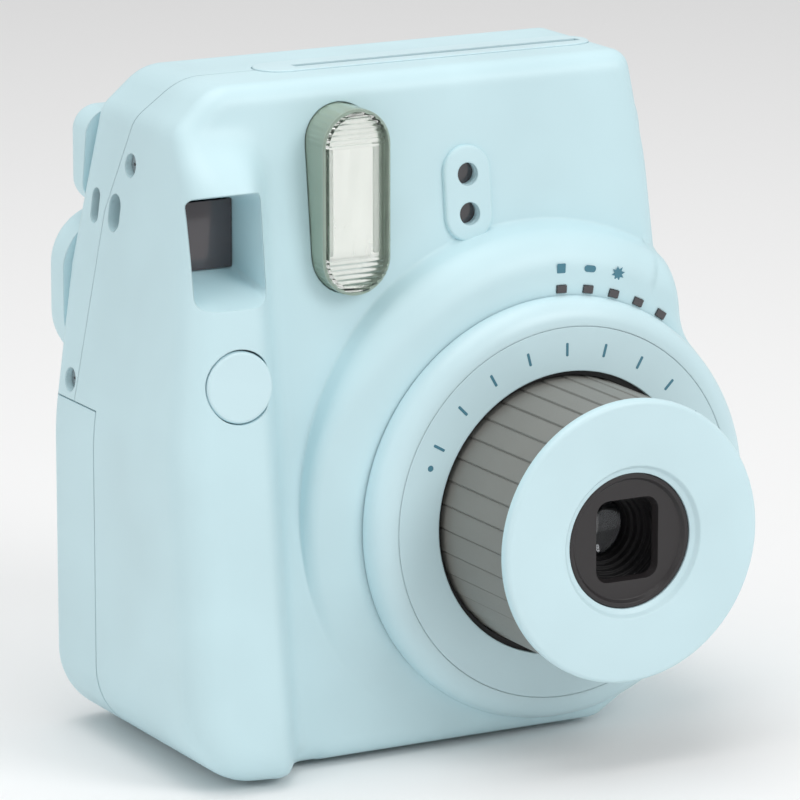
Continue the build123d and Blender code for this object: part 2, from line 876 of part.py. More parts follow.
def shutter_blade():
    """Swinging blade that covers the lens opening."""
    y0, y1 = blade_y, blade_y + blade_thick
    px, pz = lens_x + pivot_dx, lens_z + pivot_dz
    leaf = rod_y(lens_x, lens_z, blade_leaf_r, y0, y1)
    arm_len = hypot(pivot_dx, pivot_dz)
    turn = -slope_angle(pivot_dz, pivot_dx)
    arm = Pos((lens_x + px) / 2, (y0 + y1) / 2, (lens_z + pz) / 2) * Rot(0, turn, 0)
    arm = arm * Box(arm_len, blade_thick, blade_arm_w)
    hub = rod_y(px, pz, blade_hub_r, y0, y1)
    return leaf + arm + hub - rod_y(px, pz, pin_r + run_gap, y0 - 1, y1 + 1)


def aperture_disc():
    """Disc with five openings, one for each exposure setting."""
    y0, y1 = aperture_y, aperture_y + blade_thick
    cz = lens_z - aperture_offset
    disc = rod_y(lens_x, cz, aperture_disc_r, y0, y1)
    for i, r in enumerate(aperture_hole_r):
        angle = radians((i - 2) * dial_step * aperture_ratio)
        disc -= rod_y(lens_x + aperture_offset * sin(angle), cz + aperture_offset * cos(angle), r, y0 - 1, y1 + 1)
    return disc - rod_y(lens_x, cz, pin_r + run_gap, y0 - 1, y1 + 1)


def shutter_plate():
    """Rear plate of the shutter, with the pins that the blade and the aperture disc turn on."""
    outer = barrel_r - barrel_wall
    plate = rod_y(lens_x, lens_z, outer, plate_y, plate_y + plate_thick, rear_lens_r + 0.05)
    plate += rod_y(lens_x + pivot_dx, lens_z + pivot_dz, pin_r, blade_y - 0.3, plate_y + 0.2)
    return plate + rod_y(lens_x, lens_z - aperture_offset, pin_r, aperture_y - 0.1, plate_y + 0.2)


def film_frame():
    """Inner frame round the film pack, with the picture gate and the way out for the print."""
    half = chamber_w / 2
    z0, z1 = chamber_z0, chamber_z1
    front = film_y - frame_wall - 0.1
    top_y = back_y_top - 1.2
    x0, x1 = chamber_x - half, chamber_x + half
    body = block(x0 - frame_wall, x1 + frame_wall, front, top_y, z0 - frame_wall, z1 + frame_wall)
    room = block(x0, x1, film_y - 0.1, END_Y, z0, z1)
    gate = block(film_x - gate_w / 2, film_x + gate_w / 2, front - 1, film_y + 1, gate_z0, gate_z1)
    way_out = block(film_x - slot_w / 2, film_x + slot_w / 2, film_y - 0.05, film_y + 2.5, z1 - 1, z1 + 5)
    return body - room - gate - way_out


dark_x0 = -15.0
dark_x1 = 42.2
dark_z0 = 9.5
dark_z1 = 67.0
dark_wall = 1.1
dark_front_y = -22.4


def dark_chamber():
    """Light-tight box between the lens and the picture gate."""
    back = film_y - frame_wall - 0.1
    inside = wall + free_gap
    box = block(dark_x0, dark_x1, dark_front_y, back, dark_z0, dark_z1)
    box = box & along_y(outline(inside), dark_front_y - 1, 0)
    room = block(dark_x0 + dark_wall, dark_x1 - dark_wall, dark_front_y + dark_wall, back + 1,
                 dark_z0 + dark_wall, dark_z1 - dark_wall)
    room = room & along_y(outline(inside + dark_wall), dark_front_y, 0)
    return box - room - rod_y(lens_x, lens_z, guide_r + 0.1, dark_front_y - 1, dark_front_y + 5)


def spur_points(teeth, turn):
    """Corners of a spur gear's outline, one tooth at a time, turned by an angle in degrees."""
    pitch = gear_module * teeth / 2
    tip, root = pitch + gear_module * 0.9, pitch - gear_module * 1.15
    step = 360 / teeth
    points = []
    for i in range(teeth):
        middle = turn + i * step
        for r, share in ((root, -0.34), (tip, -0.13), (tip, 0.13), (root, 0.34)):
            angle = radians(middle + share * step)
            points.append((r * cos(angle), r * sin(angle)))
    return points


def gear(teeth, y, z, turn, x0=gear_x0, face=gear_face, bore=shaft_r):
    """Spur gear turning about an X axis."""
    points = [(y + a, z + b) for a, b in spur_points(teeth, turn)]
    return along_x(points, x0, x0 + face) - rod_x(y, z, bore, x0 - 1, x0 + face + 1)


pitch_gap = 0.12             # extra distance between meshing gears
roller_reach = gear_module * roller_teeth + pitch_gap
front_roller_y = film_y - roller_reach / 2
rear_roller_y = film_y + roller_reach / 2
idler_b_z = roller_z - gear_module * (roller_teeth + idler_teeth) / 2 - pitch_gap
idler_a_z = idler_b_z - gear_module * idler_teeth - pitch_gap
pinion_z = idler_a_z - gear_module * (idler_teeth + pinion_teeth) / 2 - pitch_gap
roller_x0 = film_x - roller_len / 2
roller_x1 = film_x + roller_len / 2
bracket_x1 = film_x + roller_len / 2 + 1.6


def feed_roller(y):
    """Rubber-faced roller on its steel shaft."""
    return rod_x(y, roller_z, roller_r, roller_x0, roller_x1, shaft_r)


def roller_shaft(y):
    """Steel shaft of a feed roller."""
    return rod_x(y, roller_z, shaft_r, gear_x0, bracket_x1 + bracket_thick + 0.4)


def roller_bracket():
    """Side plates that carry the rollers' shafts and the idlers' pins."""
    y0, y1 = front_roller_y - 2.4, rear_roller_y + 2.4
    left = block(bracket_x0, bracket_x0 + bracket_thick, y0, y1, roller_z - 3, roller_z + 3)
    left += block(bracket_x0, bracket_x0 + bracket_thick, rear_roller_y - 2.4, rear_roller_y + 2.4,
                  pinion_z + 8.0, roller_z)
    right = block(bracket_x1, bracket_x1 + bracket_thick, y0, y1, roller_z - 3, roller_z + 3)
    for y in (front_roller_y, rear_roller_y):
        left -= rod_x(y, roller_z, shaft_r + run_gap, bracket_x0 - 1, bracket_x0 + 3)
        right -= rod_x(y, roller_z, shaft_r + run_gap, bracket_x1 - 1, bracket_x1 + 3)
    for z in (idler_a_z, idler_b_z):
        left += rod_x(rear_roller_y, z, shaft_r, gear_x0 - 0.3, bracket_x0 + 0.1)
    return Compound([left.solids()[0], right.solids()[0]])


motor_x1 = gear_x0 - 1.0


def drive_motor():
    """Can of the small motor that drives the rollers."""
    can = rod_x(rear_roller_y, pinion_z, motor_r, motor_x1 - motor_len, motor_x1)
    can = fillet([e for e in can.edges() if e.center().X < motor_x1 - 1], 0.8)
    return can - rod_x(rear_roller_y, pinion_z, 0.75 + run_gap, motor_x1 - 4, motor_x1 + 1)


def motor_pinion():
    """Pinion and the motor's shaft."""
    pinion = gear(pinion_teeth, rear_roller_y, pinion_z, 90 + 180 / pinion_teeth, bore=0.7)
    return pinion + rod_x(rear_roller_y, pinion_z, 0.75, motor_x1 - 3.5, gear_x0 + gear_face)


pick_w = 3.5
pick_thick = 1.0
pick_z0 = 60.0
pick_z1 = 92.0
claw_reach = 1.6
claw_h = 3.0
claw_z = 86.0


def film_pick_arm():
    """Sliding claw that pushes the exposed film up to the rollers."""
    x0 = dark_x0 - pick_w - 2.0
    y = film_y - frame_wall - 2 * pick_thick
    plate = block(x0, x0 + pick_w, y, y + pick_thick, pick_z0, pick_z1)
    return plate + block(x0 - claw_reach, x0 + 0.5, y, y + pick_thick, claw_z, claw_z + claw_h)


def flash_window():
    """Clear domed cover of the flash, hollow behind."""
    front = flash_front_y
    back = face_at(flash_z + flash_h / 2) + wall + 1.5
    shape = along_y(stadium(flash_w, flash_h, flash_x, flash_z), front, back)
    shape = fillet([e for e in shape.edges() if e.center().Y < front + 0.01], 2.0)
    w = flash_w - 2 * flash_wall
    h = flash_h - 2 * flash_wall
    room = along_y(stadium(w, h, flash_x, flash_z), front + flash_wall, back + 1)
    return shape - room


reflector_w = 9.6
reflector_h = 29.0
reflector_y0 = flash_front_y + 3.4
reflector_y1 = flash_front_y + 11.4


def flash_reflector():
    """Bright trough behind the flash tube."""
    x0, x1 = flash_x - reflector_w / 2, flash_x + reflector_w / 2
    z0, z1 = flash_z - reflector_h / 2, flash_z + reflector_h / 2
    body = block(x0, x1, reflector_y0, reflector_y1, z0, z1)
    trough = Pos(flash_x, reflector_y0 - 0.6, flash_z) * Cylinder(reflector_w / 2 - 0.5, reflector_h - 2)
    deep = block(flash_x - 2.6, flash_x + 2.6, reflector_y0, reflector_y1 - 1.2, z0 + 1, z1 - 1)
    ends = along_y(stadium(reflector_w + 0.4, flash_h - 2 * flash_wall - 0.6, flash_x, flash_z), -40, 0)
    return (body - trough - deep) & ends


tube_r = 1.4
tube_len = 21.0
tube_depth = 3.4             # the lamp's middle is this far ahead of the reflector's back
board_thick = 1.0
flash_board_w = 12.2
flash_board_z0 = flash_z - 15.0
flash_board_z1 = flash_z + 8.0
main_board_x0 = -11.0
main_board_x1 = 37.0
main_board_y = -12.0
main_board_z0 = pad_z - 23.5
main_board_z1 = pad_z + 6.5
capacitor_r = 6.0
capacitor_len = 35.0
capacitor_place = (-47.0, -20.5, 27.5)
capacitor_edge_r = 0.8


def flash_tube():
    """Flash lamp with its metal ends."""
    return Pos(flash_x, reflector_y1 - tube_depth, flash_z) * Cylinder(tube_r, tube_len)


def flash_board():
    """Small board behind the reflector."""
    x0, y0 = flash_x - flash_board_w / 2 - 0.1, reflector_y1 + 0.5
    return block(x0, x0 + flash_board_w, y0, y0 + board_thick, flash_board_z0, flash_board_z1)


def main_board():
    """Circuit board above the lens."""
    y0 = main_board_y
    return block(main_board_x0, main_board_x1, y0, y0 + board_thick, main_board_z0, main_board_z1)


def flash_capacitor():
    """Can that stores the flash's charge."""
    can = Pos(*capacitor_place) * Cylinder(capacitor_r, capacitor_len)
    top = capacitor_place[2] + capacitor_len / 2
    return fillet([e for e in can.edges() if e.center().Z > top - 0.01], capacitor_edge_r)


def light_sensors():
    """Two small sensors behind the holes of the pad."""
    pieces = []
    for dz in (-sensor_pitch / 2, sensor_pitch / 2):
        y0 = face_at(pad_z + dz) + 0.9
        pieces.append(rod_y(pad_x, pad_z + dz, sensor_r - 0.05, y0, -12.1))
    return Compound([p.solids()[0] for p in pieces])


def viewfinder_window():
    """Dark clear window at the bottom of the finder's funnel."""
    return block(*window_box(finder_win_w - 2.2, finder_win_h - 2.2, -0.2, 1.2))


def viewfinder_tube():
    """Square tube between the finder's two windows."""
    y0, y1 = finder_win_y + 1.3, tube_back_y
    tube = block(*tube_box(0, y0, y1))
    return tube - block(*tube_box(-tube_wall, y0 - 1, y1 + 1))


eye_z = finder_z + 7.4
eye_w = 8.6
eye_h = 6.4


def eye_box(y0, y1):
    """Corners of the hollow behind the eyepiece's window."""
    return (tube_x0 + 0.6, tube_x1, y0, y1, eyepiece_z0 + 2.4, tube_z1 + 0.6)


def eyepiece_housing():
    """Block on the back that the eye looks into."""
    x0, x1 = eyepiece_x0, eyepiece_x1
    body = block(x0, x1, 0, eyepiece_back_y, eyepiece_z0, eyepiece_z1) - before_back(0)
    body = body.solids()[0]
    body = body.fillet(r_eyepiece_side, [e for e in body.edges() if abs((e % 0.5).Y) > 0.9]).solids()[0]
    body = body.fillet(r_eyepiece, [e for e in body.edges() if all(abs(v.Y - eyepiece_back_y) < 0.01 for v in e.vertices())])
    body -= block(*eye_box(0, eyepiece_back_y - 3.2))
    cx = (tube_x0 + tube_x1) / 2
    body -= block(cx - eye_w / 2, cx + eye_w / 2, 0, 60, eye_z - eye_h / 2, eye_z + eye_h / 2)
    return body - rod_y(charge_x, charge_z, 1.3, 15, 60)


charge_x = eyepiece_x1 - 2.9
charge_z = finder_z + 5.4


def eyepiece_window():
    """Clear window of the eyepiece."""
    cx = (tube_x0 + tube_x1) / 2
    y0 = eyepiece_back_y - 2.6
    w, h = eye_w / 2 - 0.1, eye_h / 2 - 0.1
    return block(cx - w, cx + w, y0, y0 + 1.2, eye_z - h, eye_z + h)


def charge_lamp():
    """Small lamp that shows the flash is charging."""
    return rod_y(charge_x, charge_z, 1.2, back_y_top + 4.6, eyepiece_back_y - 0.1)


def shutter_button():
    """Round button with its flange and stem."""
    cap = on_button(button_r, -button_len, 0.0)
    rim = [e for e in cap.edges() if e.center().Y < button_face_y + 0.3 and e.geom_type == GeomType.CIRCLE]
    cap = fillet(rim[:1], 0.6)
    cap += on_button(button_flange_r, -button_len - button_flange, -button_len)
    return cap + on_button(stem_r, -button_len - button_flange - stem_len, -button_len)


switch_top = -button_len - button_flange - stem_len - button_travel - switch_gap


def button_switch():
    """Tact switch under the shutter button, on its board."""
    body = button_plane * Pos(0, 0, switch_top - switch_h / 2) * Box(switch_size, switch_size, switch_h)
    return body + button_plane * Pos(0, 0, switch_top - switch_h - 0.5) * Box(14, 12, 1.0)


def battery_lid(outer, inner):
    """Corner of the grip that slides down to free the batteries."""
    return (outer - inner) & lid_region(part_gap)


box_z0 = 4.5
box_z1 = cell_z0 + cell_len + 2.6
box_wall = 0.8


def battery_box():
    """Holder for the two cells, open towards the lid."""
    x0, x1 = cell_x[0] - 2.6, cell_x[1] + cell_r - 0.1
    y0, y1 = cell_y - cell_r - 0.45, cell_y + cell_r + 1.1
    box = block(x0, x1, y0, y1, box_z0, box_z1)
    room = block(x0 - 1, x1 + 1, y0 + 0.35, y1 - box_wall, box_z0 + box_wall, box_z1 - box_wall)
    return box - room


def battery_cells():
    """Two cells, standing up, with opposite ends up."""
    pieces = []
    for i, x in enumerate(cell_x):
        z0 = cell_z0
        can = Pos(x, cell_y, z0 + cell_len / 2) * Cylinder(cell_r, cell_len - 2.4)
        nub_z = z0 + cell_len - 0.6 if i else z0 + 0.6
        can += Pos(x, cell_y, nub_z) * Cylinder(2.6, 1.2)
        pieces.append(can)
    return Compound([p.solids()[0] for p in pieces])


contact_size = 9.0
contact_thick = 0.4


def battery_contacts():
    """Flat plates and coil springs at the cells' ends."""
    low_z = box_z0 + box_wall + 0.05
    high_z = box_z1 - box_wall - 0.05
    can_low, can_high = cell_z0 + 1.15, cell_z0 + cell_len - 1.15
    pieces = []
    for i, x in enumerate(cell_x):
        low = Pos(x, cell_y, low_z + contact_thick / 2) * Box(contact_size, contact_size, contact_thick)
        high = Pos(x, cell_y, high_z - contact_thick / 2) * Box(contact_size, contact_size, contact_thick)
        if i:
            low += coil_sleeve(x, low_z + 0.1, can_low)
        else:
            high += coil_sleeve(x, can_high, high_z - 0.1)
        pieces += [low, high]
    return Compound([p.solids()[0] for p in pieces])


def coil_sleeve(x, z0, z1):
    """Battery spring, drawn as a sleeve."""
    return Pos(x, cell_y, (z0 + z1) / 2) * (Cylinder(3.2, z1 - z0) - Cylinder(2.6, z1 - z0 + 1))


def counter_disc():
    """Numbered wheel behind the door's counter window."""
    y0 = back_y_low + door_thick - door_skin - 1.4
    return rod_y(counter_x, counter_z, counter_r, y0, y0 + 1.0, hinge_pin_r + run_gap)


def counter_post():
    """Fixed post and plate that the counter wheel turns on."""
    y0 = back_y_low + door_thick - door_skin - 2.6
    plate = block(counter_x - 3, counter_x + 3, y0, y0 + 0.9, door_z0 + door_skin, counter_z + 3)
    return plate + rod_y(counter_x, counter_z, hinge_pin_r, y0, y0 + 2.3)


def counter_window():
    """Clear window over the counter."""
    back = back_y_low + door_thick
    return rod_y(counter_x, counter_z + counter_ring, counter_win_r, back - door_skin + 0.4, back - 0.2)


def pack_window():
    """Clear window that shows whether a film pack is loaded."""
    back = back_y_low + door_thick
    return block(*pack_window_box(0, back - door_skin + 0.2, back - 0.2))


spring_places = ((-14.0, 20.0), (32.6, 36.0))
spring_w = 5.0
spring_h = 22.0


def pack_springs():
    """Two leaf springs in the door that press on the film pack."""
    y = back_y_low + door_thick - door_skin
    pieces = []
    for x, z in spring_places:
        strip = block(x - spring_w / 2, x + spring_w / 2, y - 0.5, y, z, z + 5)
        strip += block(x - spring_w / 2, x + spring_w / 2, y - 1.5, y - 0.5, z + 2, z + spring_h)
        pieces.append(strip)
    return Compound([p.solids()[0] for p in pieces])


def hinge_pin():
    """Steel pin of the film door."""
    z0, z1 = knuckle_z[0] + 0.4, knuckle_z[-1] - 0.4
    return Pos(hinge_x, hinge_y, (z0 + z1) / 2) * Cylinder(hinge_pin_r, z1 - z0)


def feet():
    """Small round pads that the camera stands on."""
    pads = []
    for x, y in foot_places:
        pad = Pos(x, y, -foot_h / 2) * Cylinder(foot_r, foot_h)
        pads.append(fillet([e for e in pad.edges() if e.center().Z < -foot_h + 0.01], 0.3))
    return Compound([p.solids()[0] for p in pads])


def mesh_turn(teeth, first_turn, first_teeth):
    """Angle that puts a gear above another in mesh with it."""
    step, first_step = 360 / teeth, 360 / first_teeth
    ahead = ((90 - first_turn) / first_step) % 1.0
    return -90 - (0.5 - ahead) * step


def build():
    """Every piece of the camera, by name."""
    outer, inner = rounded_body(), rounded_body(wall)
    turn_pinion = 90 + 180 / pinion_teeth
    turn_a = mesh_turn(idler_teeth, turn_pinion, pinion_teeth)
    turn_b = mesh_turn(idler_teeth, turn_a, idler_teeth)
    turn_rear = mesh_turn(roller_teeth, turn_b, idler_teeth)
    ahead = ((180 - turn_rear) / (360 / roller_teeth)) % 1.0
    turn_front = 0 - (0.5 - ahead) * 360 / roller_teeth
    y_front, y_rear = front_roller_y, rear_roller_y
    return {
        "front_cover": front_cover(outer, inner),
        "rear_cover": rear_cover(outer, inner),
        "film_door": film_door(),
        "battery_lid": battery_lid(outer, inner),
        "film_exit_bezel": film_exit_bezel(),
        "housing_screws": housing_screws(),
        "feet": feet(),
        "exposure_dial": exposure_dial(),
        "dial_face_ring": dial_face_ring(),
        "barrel_guide": barrel_guide(),
        "lens_barrel": lens_barrel(),
        "lens_front_ring": lens_front_ring(),
        "lens_bezel": lens_bezel(),
        "lens_baffle": lens_baffle(),
        "front_lens": glass_disc(lens_glass_r, -41.6, 1.2, 0.4),
        "rear_lens": glass_disc(rear_lens_r, plate_y + plate_thick / 2, 0.0, 1.4, 0.65),
        "shutter_housing": shutter_housing(),
        "shutter_blade": shutter_blade(),
        "aperture_disc": aperture_disc(),
        "shutter_plate": shutter_plate(),
        "exposure_lamps": led_windows(),
        "flash_window": flash_window(),
        "flash_reflector": flash_reflector(),
        "flash_tube": flash_tube(),
        "flash_board": flash_board(),
        "flash_capacitor": flash_capacitor(),
        "main_board": main_board(),
        "light_sensors": light_sensors(),
        "viewfinder_window": viewfinder_window(),
        "viewfinder_tube": viewfinder_tube(),
        "eyepiece_housing": eyepiece_housing(),
        "eyepiece_window": eyepiece_window(),
        "charge_lamp": charge_lamp(),
        "shutter_button": shutter_button(),
        "button_switch": button_switch(),
        "film_frame": film_frame(),
        "dark_chamber": dark_chamber(),
        "front_roller": feed_roller(y_front),
        "rear_roller": feed_roller(y_rear),
        "front_roller_shaft": roller_shaft(y_front),
        "rear_roller_shaft": roller_shaft(y_rear),
        "front_roller_gear": gear(roller_teeth, y_front, roller_z, turn_front),
        "rear_roller_gear": gear(roller_teeth, y_rear, roller_z, turn_rear),
        "upper_idler_gear": gear(idler_teeth, y_rear, idler_b_z, turn_b, bore=shaft_r + run_gap),
        "lower_idler_gear": gear(idler_teeth, y_rear, idler_a_z, turn_a, bore=shaft_r + run_gap),
        "motor_pinion": motor_pinion(),
        "drive_motor": drive_motor(),
        "roller_bracket": roller_bracket(),
        "film_pick_arm": film_pick_arm(),
        "battery_box": battery_box(),
        "battery_cells": battery_cells(),
        "battery_contacts": battery_contacts(),
        "counter_disc": counter_disc(),
        "counter_post": counter_post(),
        "counter_window": counter_window(),
        "pack_window": pack_window(),
        "pack_springs": pack_springs(),
        "door_latch": door_latch(),
        "hinge_pin": hinge_pin(),
    }


def placed(pieces):
    """Moves every piece so that the origin is at the middle of the bottom of the whole box."""
    boxes = [p.bounding_box() for p in pieces.values()]
    x = (min(b.min.X for b in boxes) + max(b.max.X for b in boxes)) / 2
    y = (min(b.min.Y for b in boxes) + max(b.max.Y for b in boxes)) / 2
    z = min(b.min.Z for b in boxes)
    return {name: Pos(-x, -y, -z) * p for name, p in pieces.items()}, (x, y, z)


if __name__ == "__main__":
    os.makedirs("parts", exist_ok=True)
    pieces, origin = placed(build())
    for name, piece in pieces.items():
        export_step(piece, f"parts/{name}.step")
        print(name)
    print("origin", origin)
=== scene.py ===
# %% [markdown]
# # An instant camera, dressed over its mechanical model
#
# The camera's mechanism is already modelled in a CAD program and loads as a fixed frame of named parts.
# This lesson builds what the eye sees: moulded shells with soft transitions, the ribbed barrel, the flash
# with its prisms, the dark lens, the printed marks, and a material for every part. Each cell explains one
# piece: what it is on a real camera, how it could be made, and why it is made this way.

import json
import math

import bpy
import numpy as np
from mathutils import Matrix, Vector


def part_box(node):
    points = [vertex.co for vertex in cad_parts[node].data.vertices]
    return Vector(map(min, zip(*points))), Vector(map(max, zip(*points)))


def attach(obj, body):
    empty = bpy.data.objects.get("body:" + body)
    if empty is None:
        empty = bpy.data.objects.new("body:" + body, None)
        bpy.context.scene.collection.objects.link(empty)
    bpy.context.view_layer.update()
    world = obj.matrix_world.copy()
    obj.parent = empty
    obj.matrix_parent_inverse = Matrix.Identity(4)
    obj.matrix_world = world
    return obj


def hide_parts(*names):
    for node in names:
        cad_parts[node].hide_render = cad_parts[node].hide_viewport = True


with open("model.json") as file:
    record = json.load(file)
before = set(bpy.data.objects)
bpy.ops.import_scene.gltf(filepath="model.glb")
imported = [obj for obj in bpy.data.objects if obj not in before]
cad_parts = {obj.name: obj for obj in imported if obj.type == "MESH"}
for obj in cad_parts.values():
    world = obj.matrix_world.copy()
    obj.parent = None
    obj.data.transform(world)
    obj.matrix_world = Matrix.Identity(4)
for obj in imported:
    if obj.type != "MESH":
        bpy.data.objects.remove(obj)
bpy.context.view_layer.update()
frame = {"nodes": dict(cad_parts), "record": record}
print("parts in the frame:", len(frame["nodes"]))

# %% [markdown]
# ## One set of measures
#
# The camera is drawn in millimetres about the middle of its body, as its maker would draw it, and Blender
# works in metres. `at` turns a drawing's point into a Blender point. The shift between the two comes from the
# lens ring, whose place in the drawing is known. Measuring it from the frame keeps every new piece on its
# part even if the frame's origin changes.

# %% Measures and the shift to the frame
MM = 0.001
lens_x, lens_z, ring_front_y = 16.1, 40.0, -55.7
ring_low, ring_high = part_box("lens_front_ring")
shift = Vector((
    (ring_low.x + ring_high.x) / 2 - lens_x * MM,
    ring_low.y - ring_front_y * MM,
    (ring_low.z + ring_high.z) / 2 - lens_z * MM,
))


def at(x, y, z):
    """A point of the drawing, in metres in the frame."""
    return Vector((x * MM, y * MM, z * MM)) + shift


print("shift in mm:", [round(v / MM, 2) for v in shift])

# %% [markdown]
# ## Small helpers
#
# Blender's operators act on whatever is selected, so every step starts by clearing the selection. `settle`
# bakes an object's place into its mesh, which leaves the object at the origin like the frame's own parts.
# `keep` is the last step for every piece: it says which body the piece moves with, which parts of the frame it
# stands for, and which finish it takes.

# %% Helpers for selecting, settling and keeping a piece
def only(obj):
    """Selects one object and makes it active."""
    bpy.ops.object.select_all(action="DESELECT")
    obj.select_set(True)
    bpy.context.view_layer.objects.active = obj
    return obj


def settle(obj):
    """Moves an object's place, turn and size into its mesh."""
    only(obj)
    bpy.ops.object.transform_apply(location=True, rotation=True, scale=True)
    return obj


def named(name):
    """Names the object that was just added."""
    obj = bpy.context.active_object
    obj.name = name
    obj.data.name = name
    return obj


def apply(obj, kind, **values):
    """Adds a modifier, sets it and applies it."""
    only(obj)
    modifier = obj.modifiers.new(kind.lower(), kind)
    for key, value in values.items():
        setattr(modifier, key, value)
    bpy.ops.object.modifier_apply(modifier=modifier.name)
    return obj


def smooth(obj, degrees=32):
    """Smooth shading that keeps edges sharper than an angle."""
    only(obj)
    bpy.ops.object.shade_smooth_by_angle(angle=math.radians(degrees))
    return obj


def faces_out(obj):
    """Merges doubled points and turns every face outwards."""
    only(obj)
    bpy.ops.object.mode_set(mode="EDIT")
    bpy.ops.mesh.select_all(action="SELECT")
    bpy.ops.mesh.remove_doubles(threshold=1e-7)
    bpy.ops.mesh.normals_make_consistent(inside=False)
    bpy.ops.object.mode_set(mode="OBJECT")
    return obj


def keep(obj, body, finish, replaced=()):
    """Puts a finished piece on its body, with its finish."""
    obj.data.materials.clear()
    obj.data.materials.append(finish)
    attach(obj, body)
    if replaced:
        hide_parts(*replaced)
    return obj


bpy.ops.object.select_all(action="DESELECT")
print("helpers ready")

# %% [markdown]
# ## Outlines with rounded corners
#
# Moulded plastic has no sharp corners in plan, so outlines come from a list of corners and a radius for each.
# A bezier curve with handles could do the same by hand. Working the arcs out gives exact radii that match
# the mechanical drawing, which matters where two shells meet.

# %% Rounded outlines
def rounded(points, radii, steps=10, closed=True):
    """Corners joined by straight runs and arcs, as a list of points."""
    out = []
    count = len(points)
    for i, (point, r) in enumerate(zip(points, radii)):
        if not r or (not closed and i in (0, count - 1)):
            out.append(tuple(point))
            continue
        p = np.array(point, float)
        a = np.array(points[i - 1], float) - p
        b = np.array(points[(i + 1) % count], float) - p
        a, b = a / np.linalg.norm(a), b / np.linalg.norm(b)
        half = math.acos(np.clip(a @ b, -1, 1)) / 2
        centre = p + (a + b) / np.linalg.norm(a + b) * r / math.sin(half)
        first = p + a * r / math.tan(half) - centre
        last = p + b * r / math.tan(half) - centre
        sweep = math.pi - 2 * half
        for k in range(steps + 1):
            t = k / steps
            mix = (math.sin((1 - t) * sweep) * first + math.sin(t * sweep) * last) / math.sin(sweep)
            out.append(tuple(centre + mix))
    return out


def stadium(w, h, steps=16):
    """An upright slot shape about its middle."""
    r = w / 2
    turn = [math.pi * k / steps for k in range(steps + 1)]
    top = [(r * math.cos(a), h / 2 - r + r * math.sin(a)) for a in turn]
    return top + [(-x, -z) for x, z in top]


def circle(r, steps=96):
    """A circle about its middle."""
    turn = [2 * math.pi * k / steps for k in range(steps)]
    return [(r * math.cos(a), r * math.sin(a)) for a in turn]


def lens_arc(r, first, last, steps):
    """Points of a circle about the lens, between two angles in degrees."""
    turn = np.radians(np.linspace(first, last, steps))
    return [(lens_x + r * math.cos(a), lens_z + r * math.sin(a)) for a in turn]


BASE_R, JOIN_X, LOW_X = 39.2, 43.7, 25.6
join_turn = math.degrees(math.acos((JOIN_X - lens_x) / BASE_R))
join_z = lens_z + BASE_R * math.sin(math.radians(join_turn))
low_far = math.hypot(LOW_X - lens_x, lens_z)
low_turn = math.degrees(math.atan2(-lens_z, LOW_X - lens_x) + math.acos(BASE_R / low_far))
base_arc = lens_arc(BASE_R, join_turn - 6.0, low_turn, 90)
body_outline = rounded(
    [base_arc[-1], (LOW_X, 0), (-58, 0), (-58, 55), (-50.5, 110.5), (-43, 117.5), (39.2, 117.5), (42.0, 98),
     (JOIN_X, join_z), base_arc[0]],
    [0, 5, 13, 60, 5, 9, 3.5, 60, 10, 0],
) + base_arc[1:-1]
print("outline points:", len(body_outline))

# %% [markdown]
# ## Two ways to raise a shape
#
# Most pieces are either an outline pulled straight out, or a profile spun about the lens. `pulled` bends a
# circle into the outline and extrudes it. `spun` bends a circle into the profile and spins it. Both
# start from a primitive and use the tools a modeller would use by hand.

# %% Pulled and spun pieces
def pulled(name, outline, x, z, y0, y1):
    """A closed solid of a front-view outline about (x, z), from y0 back to y1."""
    bpy.ops.object.select_all(action="DESELECT")
    bpy.ops.mesh.primitive_circle_add(vertices=len(outline), fill_type="NGON", location=(0, 0, 0))
    obj = named(name)
    for vertex, (dx, dz) in zip(obj.data.vertices, outline):
        vertex.co = at(x + dx, y0, z + dz)
    bpy.ops.object.mode_set(mode="EDIT")
    bpy.ops.mesh.select_all(action="SELECT")
    bpy.ops.mesh.extrude_region_move(TRANSFORM_OT_translate={"value": (0, (y1 - y0) * MM, 0)})
    bpy.ops.object.mode_set(mode="OBJECT")
    return faces_out(obj)


def spun(name, profile, x=lens_x, z=lens_z, steps=144, closed=True):
    """A turned piece about the Y axis through (x, z), from a profile of (radius, y)."""
    bpy.ops.object.select_all(action="DESELECT")
    bpy.ops.mesh.primitive_circle_add(vertices=len(profile), fill_type="NOTHING", location=(0, 0, 0))
    obj = named(name)
    for vertex, (r, y) in zip(obj.data.vertices, profile):
        vertex.co = at(x + r, y, z)
    bpy.ops.object.mode_set(mode="EDIT")
    bpy.ops.mesh.select_all(action="SELECT")
    bpy.ops.mesh.spin(steps=steps, angle=2 * math.pi, center=at(x, 0, z), axis=(0, 1, 0))
    bpy.ops.object.mode_set(mode="OBJECT")
    return faces_out(obj)


def box_piece(name, x0, x1, y0, y1, z0, z1, bevel=0.0, segments=3):
    """A box between two corners of the drawing, with its edges bevelled."""
    low, high = at(x0, y0, z0), at(x1, y1, z1)
    bpy.ops.object.select_all(action="DESELECT")
    bpy.ops.mesh.primitive_cube_add(size=1, location=(low + high) / 2)
    obj = named(name)
    obj.scale = high - low
    settle(obj)
    if bevel:
        apply(obj, "BEVEL", width=bevel * MM, segments=segments)
    return obj


def joined(name, pieces):
    """Several meshes as one object."""
    only(pieces[0])
    for piece in pieces:
        piece.select_set(True)
    bpy.ops.object.join()
    return named(name)


